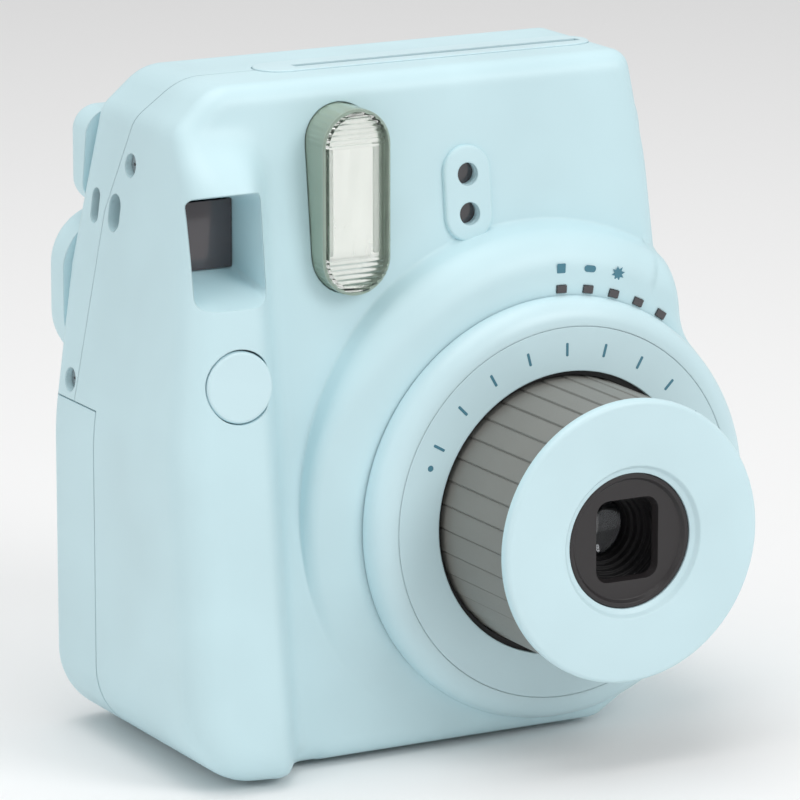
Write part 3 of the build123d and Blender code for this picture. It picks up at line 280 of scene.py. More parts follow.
def cut(obj, cutters, solver="EXACT"):
    """Takes the cutters away from a piece, and removes them."""
    group = bpy.data.collections.new("cutters")
    bpy.context.scene.collection.children.link(group)
    for cutter in cutters:
        group.objects.link(cutter)
    apply(obj, "BOOLEAN", operation="DIFFERENCE", operand_type="COLLECTION", collection=group, solver=solver)
    for cutter in cutters:
        bpy.data.objects.remove(cutter)
    bpy.data.collections.remove(group)
    return obj


print("modelling helpers ready")

# %% [markdown]
# ## Shader maths as plain expressions
#
# A procedural material is a sum of masks: noise for the moulding's texture, edges that catch the light, dust
# in the corners. Wiring each Math node by hand is slow to read, so a small class wraps a socket and lets
# ordinary operators add the nodes. Every other node comes from one method.

# %% The material maker
class Value:
    """A socket that can be added, multiplied and mixed like a number."""

    def __init__(self, maker, socket):
        self.maker = maker
        self.socket = socket

    def _math(self, operation, a, b):
        return self.maker.node("ShaderNodeMath", {"operation": operation}, {0: a, 1: b})

    def __add__(self, other):
        return self._math("ADD", self, other)

    __radd__ = __add__

    def __mul__(self, other):
        return self._math("MULTIPLY", self, other)

    __rmul__ = __mul__

    def __sub__(self, other):
        return self._math("SUBTRACT", self, other)

    def __rsub__(self, other):
        return self._math("SUBTRACT", other, self)

    def over(self, edge):
        """1 where the value is above an edge, and 0 elsewhere."""
        return self._math("GREATER_THAN", self, edge)

    def sine(self):
        return self._math("SINE", self, 0.0)


class Finish:
    """One material under construction."""

    def __init__(self, name):
        self.material = bpy.data.materials.new(name)
        self.material.use_nodes = True
        self.nodes = self.material.node_tree.nodes
        self.links = self.material.node_tree.links
        self.shader = self.nodes["Principled BSDF"]

    def node(self, kind, settings=None, inputs=None, output=0):
        """Adds a node, sets it, fills its sockets, and returns one of its outputs."""
        node = self.nodes.new(kind)
        for key, value in (settings or {}).items():
            if key == "stops":
                ramp = node.color_ramp.elements
                while len(ramp) < len(value):
                    ramp.new(0.5)
                for element, (position, colour) in zip(ramp, value):
                    element.position = position
                    element.color = colour
            else:
                setattr(node, key, value)
        for key, value in (inputs or {}).items():
            self.feed(node.inputs[key], value)
        return Value(self, node.outputs[output])

    def feed(self, socket, value):
        """Puts a number, a colour or another node's output on a socket."""
        if isinstance(value, Value):
            self.links.new(value.socket, socket)
        else:
            socket.default_value = value

    def set(self, **values):
        """Sets the shader's sockets; a name's underscores stand for spaces."""
        for key, value in values.items():
            self.feed(self.shader.inputs[key.replace("_", " ")], value)
        return self

    def place(self):
        return self.node("ShaderNodeTexCoord", output="Object")

    def noise(self, scale, detail=4.0, roughness=0.5, vector=None):
        return self.node("ShaderNodeTexNoise", {}, {
            "Vector": vector or self.place(), "Scale": scale, "Detail": detail, "Roughness": roughness,
        })

    def range(self, value, low, high, out_low, out_high):
        return self.node("ShaderNodeMapRange", {}, {0: value, 1: low, 2: high, 3: out_low, 4: out_high})

    def blend(self, mask, a, b):
        """Mixes two colours by a mask."""
        return self.node("ShaderNodeMix", {"data_type": "RGBA"}, {0: mask, 6: a, 7: b}, output=2)

    def bump(self, height, strength, distance, normal=None):
        inputs = {"Height": height, "Strength": strength, "Distance": distance}
        if normal:
            inputs["Normal"] = normal
        return self.node("ShaderNodeBump", {}, inputs)

    def soft_edges(self, radius):
        """The normal of the surface with its sharp edges rounded."""
        return self.node("ShaderNodeBevel", {"samples": 6}, {"Radius": radius * MM})


def rgb(r, g, b):
    return (r, g, b, 1.0)


print("material maker ready")

# %% [markdown]
# ## The finishes
#
# The shells are pale blue plastic with a very fine spark texture. It is what keeps a fingerprint from showing.
# Seen close, it breaks the highlight into tiny points. Seen from afar, it makes the plastic look soft. Two
# noises do it: a fine one for the grain, and a broad one for the colour's slight drift. Together they vary the
# roughness. The rounded-edge normal gives each parting line the thin bright edge of real plastic.

# %% Moulded plastics
def plastic(name, colour, roughness, grain=0.25, edge=0.35, coat=0.0, scale=5200.0, shade=0.03):
    """Moulded plastic with spark grain, a little waviness and rounded edges."""
    finish = Finish(name)
    broad = finish.noise(38.0, 2.0)
    fine = finish.noise(scale, 3.0, 0.6)
    dark = rgb(*[c * (1 - shade) for c in colour])
    light = rgb(*[min(1.0, c * (1 + shade)) for c in colour])
    finish.set(Base_Color=finish.blend(finish.range(broad, 0.35, 0.65, 0.0, 1.0), dark, light))
    finish.set(Roughness=finish.range(fine * 0.6 + broad * 0.4, 0.3, 0.7, roughness - 0.05, roughness + 0.06))
    finish.set(Normal=finish.bump(fine, grain, 0.00003, finish.soft_edges(edge)))
    finish.shader.inputs["IOR"].default_value = 1.49
    finish.shader.inputs["Coat Weight"].default_value = coat
    finish.shader.inputs["Coat Roughness"].default_value = 0.25
    return finish.material


SHELL_BLUE = (0.575, 0.775, 0.825)
shell = plastic("shell_blue", SHELL_BLUE, 0.42)
trim = plastic("trim_blue", (0.60, 0.79, 0.84), 0.36, grain=0.15)
black = plastic("inner_black", (0.014, 0.014, 0.015), 0.5, grain=0.3, edge=0.15)
bezel_black = plastic("bezel_black", (0.022, 0.019, 0.020), 0.4, grain=0.2, edge=0.2)
gear_white = plastic("gear_white", (0.82, 0.81, 0.76), 0.38, grain=0.1, edge=0.1)
can_black = plastic("can_sleeve", (0.035, 0.035, 0.045), 0.25, grain=0.08, edge=0.2, coat=0.3)
cell_wrap = plastic("cell_wrap", (0.42, 0.42, 0.41), 0.28, grain=0.06, edge=0.15, coat=0.4)
print("plastics:", shell.name, trim.name, black.name)

# %% [markdown]
# The barrel's grey is a satin plastic with faint moulding lines along its length. The dark windows are tinted
# clear plastic that lets almost no light back out, so a glossy near-black with a coat reads right. Metals
# get a fine scratch noise stretched along one axis. Clear parts use real transmission.

# %% Barrel, windows, metals and glass
def metal(name, colour, roughness, stretch=(1, 1, 40), scale=900.0):
    """Bare metal with fine drawn lines."""
    finish = Finish(name)
    mapped = finish.node("ShaderNodeMapping", {}, {"Vector": finish.place(), "Scale": stretch})
    lines = finish.noise(scale, 5.0, 0.6, mapped)
    cloud = finish.noise(150.0, 3.0)
    finish.set(Base_Color=finish.blend(cloud, rgb(*[c * 0.9 for c in colour]), rgb(*colour)), Metallic=1.0)
    finish.set(Roughness=finish.range(lines * 0.7 + cloud * 0.3, 0.3, 0.7, roughness - 0.06, roughness + 0.08))
    finish.set(Normal=finish.bump(lines, 0.15, 0.00002))
    return finish.material


def clear(name, colour, roughness=0.02, ior=1.49, ripple=0.0, scale=300.0):
    """Clear plastic or glass, with a slight ripple in its surface."""
    finish = Finish(name)
    wave = finish.noise(scale, 2.0)
    tint = finish.blend(wave, rgb(*[c * 0.97 for c in colour]), rgb(*colour))
    finish.set(Base_Color=tint, Roughness=finish.range(wave, 0.3, 0.7, roughness, roughness + 0.02))
    finish.shader.inputs["Transmission Weight"].default_value = 1.0
    finish.shader.inputs["IOR"].default_value = ior
    finish.set(Normal=finish.bump(wave, max(ripple, 0.02), 0.00005))
    return finish.material


def dark_window(name, colour, roughness=0.08):
    """Tinted window over something dark."""
    finish = Finish(name)
    cloud = finish.noise(120.0, 3.0)
    finish.set(Base_Color=finish.blend(cloud, rgb(*[c * 0.7 for c in colour]), rgb(*colour)))
    finish.set(Roughness=finish.range(cloud, 0.3, 0.7, roughness, roughness + 0.08))
    finish.set(Normal=finish.bump(cloud, 0.05, 0.00004, finish.soft_edges(0.12)))
    finish.shader.inputs["Coat Weight"].default_value = 0.6
    finish.shader.inputs["Coat Roughness"].default_value = 0.05
    return finish.material


barrel_grey = plastic("barrel_grey", (0.215, 0.212, 0.195), 0.45, grain=0.5, edge=0.18, scale=2600.0)
steel = metal("plain_steel", (0.55, 0.55, 0.56), 0.32)
plated = metal("plated_contact", (0.72, 0.66, 0.50), 0.28)
mirror = metal("reflector_silver", (0.97, 0.97, 0.96), 0.22, (1, 1, 0.2), 500.0)
sleeve_grey = plastic("flash_sleeve_grey", (0.48, 0.58, 0.51), 0.4, grain=0.1, edge=0.1)
strip_white = plastic("flash_strip_white", (0.86, 0.88, 0.86), 0.35, grain=0.1, edge=0.1)
lens_glass = clear("lens_glass", (0.93, 0.96, 1.0), 0.0, 1.6)
window_clear = clear("window_clear", (0.93, 0.95, 0.96), 0.03)
finder_dark = dark_window("finder_dark", (0.085, 0.07, 0.078), 0.12)
lamp_dark = dark_window("lamp_dark", (0.05, 0.045, 0.05), 0.1)
print("window and metal finishes ready")

# %% [markdown]
# The flash cover is clear plastic with a slight green-yellow cast, which shows only where the light runs a
# long way through it, along its edges; that edge tint is painted into the colour by the viewing angle. Rubber
# is matt with a soft speckle. A circuit board is glossy green with its copper tracks showing as a faint
# pattern. The counter wheel is white with printed ticks.

# %% Flash plastic, rubber, board and counter
def prism_clear():
    """Clear cover with a green edge tint painted by viewing angle, with fine prisms across its two ends."""
    finish = Finish("flash_clear")
    # Painted light: the colour turns green where the surface turns away from the view, standing for light that
    # runs a long way along the plastic.
    painted_edge_tint = finish.node("ShaderNodeLayerWeight", {}, {"Blend": 0.38}, output=1)
    finish.set(Base_Color=finish.blend(painted_edge_tint, rgb(0.98, 0.99, 0.975), rgb(0.62, 0.74, 0.64)))
    axis = finish.node("ShaderNodeSeparateXYZ", {}, {"Vector": finish.place()}, output=2)
    middle = at(0, 0, 97.0).z
    ends = ((axis - middle) * (axis - middle)).over((9.6 * MM) ** 2)
    ridges = (axis * (2 * math.pi / (0.9 * MM))).sine()
    finish.set(Normal=finish.bump(ridges * ends, 0.9, 0.00012), Roughness=finish.range(ends, 0, 1, 0.02, 0.08))
    finish.shader.inputs["Transmission Weight"].default_value = 1.0
    finish.shader.inputs["IOR"].default_value = 1.18
    return finish.material


flash_clear = prism_clear()


def rubber_finish():
    """Matt black rubber with a soft speckle."""
    finish = Finish("roller_rubber")
    speck = finish.noise(3000.0, 2.0)
    finish.set(Base_Color=finish.blend(speck, rgb(0.018, 0.018, 0.019), rgb(0.035, 0.035, 0.037)))
    finish.set(Roughness=finish.range(speck, 0.3, 0.7, 0.62, 0.8), Normal=finish.bump(speck, 0.3, 0.00004))
    return finish.material


def board_finish():
    """Glossy green board with a faint pattern of tracks."""
    finish = Finish("circuit_board")
    tracks = finish.node("ShaderNodeTexBrick", {}, {
        "Vector": finish.place(), "Color1": rgb(0.012, 0.11, 0.05), "Color2": rgb(0.016, 0.13, 0.06),
        "Mortar": rgb(0.03, 0.2, 0.09), "Scale": 260.0, "Mortar Size": 0.04,
    })
    cloud = finish.noise(400.0, 2.0)
    finish.set(Base_Color=tracks, Roughness=finish.range(cloud, 0.3, 0.7, 0.22, 0.34))
    finish.set(Normal=finish.bump(cloud, 0.08, 0.00003))
    return finish.material


def counter_finish():
    """White print stock for the counter wheel."""
    finish = Finish("counter_white")
    grain = finish.noise(900.0, 3.0)
    finish.set(Base_Color=finish.blend(grain, rgb(0.78, 0.78, 0.76), rgb(0.86, 0.86, 0.84)))
    finish.set(Roughness=finish.range(grain, 0.3, 0.7, 0.4, 0.5), Normal=finish.bump(grain, 0.1, 0.00002))
    return finish.material


def ink_finish():
    """Blue-green printing ink."""
    finish = Finish("teal_ink")
    grain = finish.noise(2500.0, 3.0)
    finish.set(Base_Color=finish.blend(grain, rgb(0.062, 0.20, 0.27), rgb(0.075, 0.235, 0.31)))
    finish.set(Roughness=finish.range(grain, 0.3, 0.7, 0.45, 0.55), Normal=finish.bump(grain, 0.1, 0.00001))
    return finish.material


rubber, board, counter_white, ink = rubber_finish(), board_finish(), counter_finish(), ink_finish()

finish_of_slot = {
    "shell": shell, "trim": trim, "barrel": barrel_grey, "bezel": bezel_black, "black": black,
    "lens_glass": lens_glass, "flash_clear": flash_clear, "window_dark": finder_dark, "clear": window_clear,
    "mirror_metal": mirror, "steel": steel, "contact": plated, "board": board, "rubber": rubber,
    "gear": gear_white, "can": can_black, "cell": cell_wrap, "lamp": lamp_dark, "counter": counter_white,
}
for part in frame["record"]["subparts"]:
    node = frame["nodes"][part["node"]]
    node.data.materials.clear()
    node.data.materials.append(finish_of_slot[part["material_slot"]])
print("every part of the frame has a finish")

# %% [markdown]
# ## The front shell
#
# The front of the camera is one moulding: a plain face that leans back, a full-height grip that swells out of
# it through a soft S, and a round base under the lens dial that grows out of the face. Box modelling with a
# subdivision surface would give the same softness but not the exact round base, and booleans of hard
# primitives give the base but no softness. So the surface is laid like a sheet of clay: a grid is wrapped
# round the lens axis, from the hole for the barrel out to the body's outline, and each point takes the height
# that a few smooth functions give it. The points gather where the surface bends.

# %% The front's height
def ease(value, low, high):
    """0 below low, 1 above high, and smooth between."""
    t = np.clip((value - low) / (high - low), 0, 1)
    return t * t * t * (t * (6 * t - 15) + 10)


FACE_Y, FACE_SLANT, GRIP_PROUD = -29.2, 0.12, 8.5


def front_plane(z):
    """y of the leaning face at a height."""
    return FACE_Y + FACE_SLANT * z


def smooth_low(a, b, k):
    """The lower of two heights, with a fillet of about k where they cross."""
    h = np.clip(0.5 + 0.5 * (b - a) / k, 0, 1)
    return b * (1 - h) + a * h - k * h * (1 - h)


def grip_share(x, z):
    """How much of the grip's thickness there is at a point."""
    across = 1 - ease(x, -43.0, -32.6)
    up = 1 - ease(z, 98.0, 112.5)
    return across * up


def base_height(r, up):
    """The lens base: flat in the middle, rolling over to its rim."""
    top_roll = 45.6 - 3.4 * up
    roll_r = 2.4 + 4.2 * up
    edge = top_roll + roll_r
    inner = np.clip(r - top_roll, 0, roll_r * 0.985)
    roll = roll_r - np.sqrt(roll_r**2 - inner**2)
    beyond = np.clip(r - top_roll - roll_r * 0.985, 0, None) * 5.8
    return -27.8 + 0.16 * np.clip(r - 39.4, 0, None) * (1 - 0.3 * up) + roll + beyond


def front_height(x, z):
    """y of the front shell, before its rim is rounded."""
    r = np.hypot(x - lens_x, z - lens_z)
    up = ease((z - lens_z) / np.maximum(r, 1e-6), 0.25, 1.0)
    face = front_plane(z) - GRIP_PROUD * grip_share(x, z)
    return smooth_low(face, base_height(r, up), 1.6 + 3.4 * up)


# %% [markdown]
# The rim is a quarter round whose radius is larger round the grip. For each ray from the lens, the shell's
# points are spread by how sharply the height bends, then come the steps of the rim's quarter round, and then
# the side wall runs straight back. The grid closes on itself both ways, so the shell is a solid with a
# round hole for the barrel.

# %% Wrap the front shell
def outline_distance(points, outline):
    """Distance of each point from a closed outline."""
    a = np.array(outline)
    b = np.roll(a, -1, axis=0)
    best = np.full(len(points), 1e9)
    for p, q in zip(a, b):
        d = q - p
        length = d @ d
        if length < 1e-12:
            continue
        t = np.clip(((points - p) @ d) / length, 0, 1)
        best = np.minimum(best, np.linalg.norm(points - p - t[:, None] * d, axis=1))
    return best


def even_points(outline, count):
    """Points at even steps along a closed outline."""
    a = np.array(outline + outline[:1])
    step = np.linalg.norm(np.diff(a, axis=0), axis=1)
    along = np.concatenate([[0], np.cumsum(step)])
    wanted = np.linspace(0, along[-1], count, endpoint=False)
    return np.stack([np.interp(wanted, along, a[:, 0]), np.interp(wanted, along, a[:, 1])], 1)


RAYS, RINGS, RIM, BACK_Y = 432, 112, 9, 14.0
HOLE_R = 26.2


def rim_radius(x, z):
    """Rounding of the front rim, larger round the grip."""
    return 3.5 + 3.0 * grip_share(np.minimum(x + 3.0, -36.0), z) * (x < -30)


def shell_points():
    """The wrapped grid's points, one row for each ray."""
    targets = even_points(body_outline, RAYS)
    centre = np.array([lens_x, lens_z])
    rows = []
    fine = np.linspace(0, 1, 900)
    for target in targets:
        ray = target - centre
        length = np.linalg.norm(ray)
        start = HOLE_R / length
        line = centre + (start + fine[:, None] * (1 - start)) * ray
        depth = outline_distance(line, body_outline)
        x, z = line[:, 0], line[:, 1]
        radius = rim_radius(x, z)
        share = np.clip(depth / radius, 0, 1)
        begin = int(np.argmax(share < 0.9999))
        height = front_height(x, z)
        bend = np.abs(np.gradient(np.gradient(height[:begin], length / 900), length / 900))
        bend = np.convolve(bend, np.ones(25) / 25, mode="same")
        weight = 1 + 14 * np.minimum(bend, 0.5)
        mass = np.concatenate([[0], np.cumsum(weight)])[:begin]
        pick = np.interp(np.linspace(0, mass[-1], RINGS), mass, np.arange(begin))
        angles = np.linspace(0, math.pi / 2, RIM + 1)[1:]
        rim_share = 1 - np.sin(angles)
        tail = np.interp(-rim_share, -share[begin:], np.arange(begin, 900))
        index = np.concatenate([pick, tail])
        px = np.interp(index, np.arange(900), x)
        pz = np.interp(index, np.arange(900), z)
        py = front_height(px, pz)
        r = np.interp(index, np.arange(900), radius)
        s = np.concatenate([np.zeros(RINGS), 1 - np.cos(angles)])
        py = py + r * s
        wall = [(px[-1], py[-1] + (BACK_Y - py[-1]) * k, pz[-1]) for k in (0.33, 0.66, 1.0)]
        hub = [(px[0], BACK_Y, pz[0])]
        rows.append(hub + list(zip(px, py, pz)) + wall)
    return np.array(rows)


points = shell_points()
points = np.concatenate([points, points[:, :1]], axis=1)
points = np.concatenate([points, points[:1]], axis=0)
rays, rings = points.shape[:2]
bpy.ops.object.select_all(action="DESELECT")
bpy.ops.mesh.primitive_grid_add(x_subdivisions=rings - 1, y_subdivisions=rays - 1, location=(0, 0, 0))
front_shell = named("front_shell")
front_shell.data.vertices.foreach_set("co", (points.reshape(-1, 3) * MM + np.array(shift)).ravel())
front_shell.data.update()
faces_out(front_shell)
print("front shell:", len(front_shell.data.polygons), "faces")

# %% [markdown]
# ## Openings in the front shell
#
# Each opening is a closed cutter of the real shape, and one boolean takes them all away. The funnel of the
# finder is a box whose back face is scaled down, which gives straight tapered walls and crisp corners. The
# hollow inside is roomy boxes: nobody sees the inner faces, but the film door and the lens need the space.

# %% Cutters for the front shell
def x_cutter(name, outline, x0, x1):
    """A closed solid of a side-view outline (y, z), from x0 to x1."""
    bpy.ops.object.select_all(action="DESELECT")
    bpy.ops.mesh.primitive_circle_add(vertices=len(outline), fill_type="NGON", location=(0, 0, 0))
    obj = named(name)
    for vertex, (y, z) in zip(obj.data.vertices, outline):
        vertex.co = at(x0, y, z)
    bpy.ops.object.mode_set(mode="EDIT")
    bpy.ops.mesh.select_all(action="SELECT")
    bpy.ops.mesh.extrude_region_move(TRANSFORM_OT_translate={"value": ((x1 - x0) * MM, 0, 0)})
    bpy.ops.object.mode_set(mode="OBJECT")
    return faces_out(obj)


def z_cutter(name, outline, x, y, z0, z1):
    """A closed solid of a plan outline about (x, y), turned a quarter, from z0 to z1."""
    bpy.ops.object.select_all(action="DESELECT")
    bpy.ops.mesh.primitive_circle_add(vertices=len(outline), fill_type="NGON", location=(0, 0, 0))
    obj = named(name)
    for vertex, (dy, dx) in zip(obj.data.vertices, outline):
        vertex.co = at(x + dx, y + dy, z0)
    bpy.ops.object.mode_set(mode="EDIT")
    bpy.ops.mesh.select_all(action="SELECT")
    bpy.ops.mesh.extrude_region_move(TRANSFORM_OT_translate={"value": (0, 0, (z1 - z0) * MM)})
    bpy.ops.object.mode_set(mode="OBJECT")
    return faces_out(obj)


def tapered(name, front, back, x_front, z_front, y0, x_back, z_back, y1):
    """A solid between two outlines with the same number of points."""
    obj = pulled(name, front, x_front, z_front, y0, y1)
    far = [v for v in obj.data.vertices if v.co.y > at(0, (y0 + y1) / 2, 0).y]
    corners = [Vector((dx * MM, 0, dz * MM)) for dx, dz in front]
    for vertex in far:
        offset = vertex.co - at(x_front, y1, z_front)
        nearest = min(range(len(front)), key=lambda i: (corners[i] - offset).length)
        vertex.co = at(x_back + back[nearest][0], y1, z_back + back[nearest][1])
    obj.data.update()
    return faces_out(obj)


def frame_outline(w, h, r):
    """A rectangle with rounded corners about its middle."""
    return rounded([(-w / 2, -h / 2), (w / 2, -h / 2), (w / 2, h / 2), (-w / 2, h / 2)], [r] * 4, steps=5)


def leaning(obj, x, y, z):
    """Turns a piece so that its front lies in the leaning face."""
    only(obj)
    lean = math.atan(FACE_SLANT)
    tip = Matrix.Rotation(-lean, 4, "X")
    obj.data.transform(Matrix.Translation(at(x, y, z)) @ tip @ Matrix.Translation(-at(x, y, z)))
    return obj


flash_x, flash_z = -19.9, 97.0
pad_x, pad_z, sensor_step = 4.3, 95.5, 6.9
button_x, button_z = -45.8, 68.8
button_y = front_plane(button_z) - GRIP_PROUD
split = [(-2.0, 140.0), (-2.0, 117.5), (8.5, 93.0), (12.0, 60.0), (12.0, -20.0), (60.0, -20.0), (60.0, 140.0)]
LAMP_RING_R = 39


def grip_side(z):
    """x of the grip's side where it leans in."""
    return -58 + (z - 55) * 7.5 / 55.5


strap_z, screw_z = 93.5, 102.4
cutters = [
    x_cutter("rear_cut", split, -90, 90),
    box_piece("inside_cut", -27, 38.4, -12, 40, 11, 106),
    box_piece("lower_cut", -27, 26, -12, 40, 3, 20),
    box_piece("roller_cut", -31, 37.2, -9.5, 30, 100, 113),
    box_piece("cell_cut", -54.0, -24, 2.4, 40, 6.5, 62),
    box_piece("lid_cut", -90, -43.88, 3.28, 40, -20, 59.12),
    pulled("flash_cut", stadium(13.5, 32.9), flash_x, flash_z, -40, -9),
    tapered("finder_cut", frame_outline(18.9, 26.5, 2.2), frame_outline(11.6, 12.2, 0.8),
            -45.3, 91.6, -41.0, -44.8, 92.0, -12.6),
    pulled("dish_cut", circle(6.4), button_x, button_z, button_y - 4, button_y + 7.0),
    box_piece("finder_room", -49.3, -39.9, -13.5, 20, 88.4, 101.4),
    z_cutter("exit_cut", stadium(9.3, 66.3), 4.4, -1.6, 111.5, 125),
]
for step in (-sensor_step / 2, sensor_step / 2):
    cutters.append(pulled("sensor_cut", circle(1.95, 40), pad_x, pad_z + step, -40, -12.5))
lamp_angles = [2.3 + 7.9 * i for i in range(5)]
for angle in lamp_angles:
    turned = math.radians(angle)
    hole = box_piece("lamp_cut", -1.0, 1.0, -31, -24, -0.7, 0.7)
    hole.data.transform(Matrix.Translation(-at(0, 0, 0)))
    hole.data.transform(Matrix.Rotation(turned, 4, "Y"))
    across, up = LAMP_RING_R * math.sin(turned), LAMP_RING_R * math.cos(turned)
    hole.data.transform(Matrix.Translation(at(lens_x + across, 0, lens_z + up)))
    cutters.append(hole)
slot_cut = pulled("strap_cut", stadium(4.4, 6.6), 0, 0, -4, 4)
slot_cut.data.transform(Matrix.Translation(at(grip_side(strap_z), 4.8, strap_z)) @ Matrix.Rotation(
    math.pi / 2, 4, "Z") @ Matrix.Translation(-at(0, 0, 0)))
cutters.append(slot_cut)
hole = pulled("screw_cut", circle(2.1, 40), 0, 0, -3, 2.6)
hole.data.transform(Matrix.Translation(at(grip_side(screw_z), 0.6, screw_z)) @ Matrix.Rotation(
    -math.pi / 2, 4, "Z") @ Matrix.Translation(-at(0, 0, 0)))
cutters.append(hole)
print("cutters:", len(cutters))

cut(front_shell, cutters)
smooth(front_shell, 38)
print("front shell after the openings:", len(front_shell.data.polygons), "faces")
keep(front_shell, "camera_body", shell, ("front_cover",))


# %% [markdown]
# ## The sensor pad
#
# Two light sensors look out of a thin raised pad. It is a stadium with a softly rounded edge that leans with
# the face, and its holes line up with the ones in the shell. A solid stadium is bevelled, tipped back by the
# face's slant about its own middle, and bored.

# %% Sensor pad
pad_y = front_plane(pad_z)
pad = pulled("sensor_pad", stadium(9.3, 17.0, 24), pad_x, pad_z, pad_y - 0.9, pad_y + 0.6)
apply(pad, "BEVEL", width=0.55 * MM, segments=4, limit_method="ANGLE", angle_limit=math.radians(60))
leaning(pad, pad_x, pad_y, pad_z)
cut(pad, [pulled("sensor_bore", circle(2.0, 48), pad_x, pad_z + step, -40, -5)
          for step in (-sensor_step / 2, sensor_step / 2)])
smooth(pad, 35)
keep(pad, "camera_body", shell)
print("sensor pad:", len(pad.data.polygons), "faces")

# %% [markdown]
# ## The ribbed barrel
#
# The barrel that pulls out to switch the camera on has a narrow groove every ten degrees, so that fingers can
# hold it. An array of thin cutters would work, but the cross-section is simpler: one outline with all its
# grooves is pulled along the axis, and a plain bore is taken out of it.

# %% Barrel
def ribbed(radius, count, depth, width):
    """A circle with narrow grooves, as an outline."""
    out = []
    step = 2 * math.pi / count
    half = width / radius / 2
    for i in range(count):
        middle = i * step
        out.append(((radius - depth) * math.cos(middle), (radius - depth) * math.sin(middle)))
        for k in range(7):
            turned = middle + half + (step - 2 * half) * k / 6
            lift = radius - 0.16 * (1 - k / 6)
            out.append((lift * math.cos(turned), lift * math.sin(turned)))
    return out


barrel = pulled("lens_barrel_ribbed", ribbed(24.28, 36, 0.34, 0.42), lens_x, lens_z, -53.52, -26.5)
cut(barrel, [pulled("bore", circle(22.6), lens_x, lens_z, -60, -20)])
smooth(barrel, 20)
keep(barrel, "lens_barrel", barrel_grey, ("lens_barrel",))
print("barrel faces:", len(barrel.data.polygons))

# %% [markdown]
# ## Front ring, dark insert and baffle
#
# The disc on the barrel has a soft outer edge and a slight dish that leads to the dark insert. Its window
# is a rounded square with a deep ledge, and behind it a stack of rings swallows stray light before the small
# glass. They are spun from their profiles, because a turned profile keeps each step crisp.

# %% Lens front
ring_profile = rounded(
    [(12.0, -54.5), (12.9, -54.9), (13.5, -55.7), (25.0, -55.7), (25.0, -53.5), (12.0, -53.5)],
    [0, 0.5, 0.35, 0.95, 0.5, 0], steps=6,
)
front_ring = spun("front_ring", ring_profile, steps=192)
smooth(front_ring, 40)
keep(front_ring, "lens_barrel", trim, ("lens_front_ring",))

insert_profile = rounded(
    [(0.0, -53.6), (10.6, -53.6), (11.1, -54.35), (11.9, -54.35), (11.9, -53.5), (14.2, -53.5), (14.2, -52.1),
     (0.0, -52.1)],
    [0, 0.2, 0.15, 0.2, 0, 0, 0, 0], steps=4,
)
insert = spun("lens_insert", insert_profile, steps=128)
window = tapered("window_cut", frame_outline(13.4, 15.6, 2.6), frame_outline(10.8, 13.0, 2.2),
                 lens_x, lens_z, -55.4, lens_x, lens_z, -51.0)
cut(insert, [window])
smooth(insert, 25)
keep(insert, "lens_barrel", bezel_black, ("lens_bezel",))

steps_profile = [(10.8, -52.1)]
for i in range(7):
    r = 9.6 - i * 0.62
    y = -52.1 + i * 1.2
    steps_profile += [(r, y), (r - 0.12, y + 1.2)]
steps_profile += [(5.3, -43.7), (10.8, -43.6)]
baffle = spun("light_baffle", steps_profile, steps=96)
smooth(baffle, 20)
keep(baffle, "lens_barrel", black, ("lens_baffle",))
print("lens front ready")

# %% [markdown]
# ## Flash
#
# The flash is a bright trough behind a clear cover. The cover is a domed stadium with a thick rim. Its green
# cast stands for the light that travels along the plastic, and is painted into the colour towards its edges.
# Fine prisms run across its upper and lower ends and spread the light. A grey-green sleeve lines the cover's
# wall. The trough has a straight middle and flared ends, with a white strip on each side.

# %% Flash sleeve, reflector and side strips
def dish_piece(name, outline, scales, ys, x, z):
    """A bowl made of rings of one outline, each scaled and set at its own depth, closed at the back."""
    bpy.ops.object.select_all(action="DESELECT")
    bpy.ops.mesh.primitive_circle_add(vertices=len(outline), fill_type="NGON", location=(0, 0, 0))
    obj = named(name)
    for vertex, (dx, dz) in zip(obj.data.vertices, outline):
        vertex.co = at(x + dx * scales[0][0], ys[0], z + dz * scales[0][1])
    bpy.ops.object.mode_set(mode="EDIT")
    bpy.ops.mesh.select_all(action="SELECT")
    for before, after, y0, y1 in zip(scales, scales[1:], ys, ys[1:]):
        bpy.ops.mesh.extrude_region_move(TRANSFORM_OT_translate={"value": (0, (y1 - y0) * MM, 0)})
        centre = at(x, y1, z)
        bpy.ops.transform.resize(value=(after[0] / before[0], 1, after[1] / before[1]), center_override=centre)
    bpy.ops.object.mode_set(mode="OBJECT")
    return obj


sleeve = pulled("flash_sleeve", stadium(13.1, 32.5, 24), flash_x, flash_z, -22.6, -13.6)
cut(sleeve, [pulled("sleeve_bore", stadium(11.9, 31.1, 24), flash_x, flash_z, -30, -5)])
smooth(sleeve, 35)
keep(sleeve, "camera_body", sleeve_grey)

well_scales = [(1, 1), (0.97, 0.985), (0.9, 0.95), (0.66, 0.84), (0.56, 0.74), (0.5, 0.66)]
well_depths = [-21.2, -19.2, -17.2, -15.0, -13.8, -13.2]
well = dish_piece("flash_well", stadium(11.4, 30.6), well_scales, well_depths, flash_x, flash_z)
only(well)
bpy.ops.object.mode_set(mode="EDIT")
bpy.ops.mesh.select_all(action="SELECT")
bpy.ops.mesh.normals_make_consistent(inside=False)
bpy.ops.object.mode_set(mode="OBJECT")
apply(well, "SOLIDIFY", thickness=0.25 * MM, offset=-1)
smooth(well, 30)
keep(well, "camera_body", mirror, ("flash_reflector",))

BAR_OUT, BAR_HALF_W, BAR_HALF_H = 4.35, 0.75, 9.5
bars = [box_piece("flash_bar", flash_x + side * BAR_OUT - BAR_HALF_W, flash_x + side * BAR_OUT + BAR_HALF_W,
                  -21.4, -18.4, flash_z - BAR_HALF_H, flash_z + BAR_HALF_H, 0.5) for side in (-1, 1)]
flash_bars = joined("flash_side_strips", bars)
smooth(flash_bars, 40)
keep(flash_bars, "camera_body", strip_white)
print("flash inside ready")

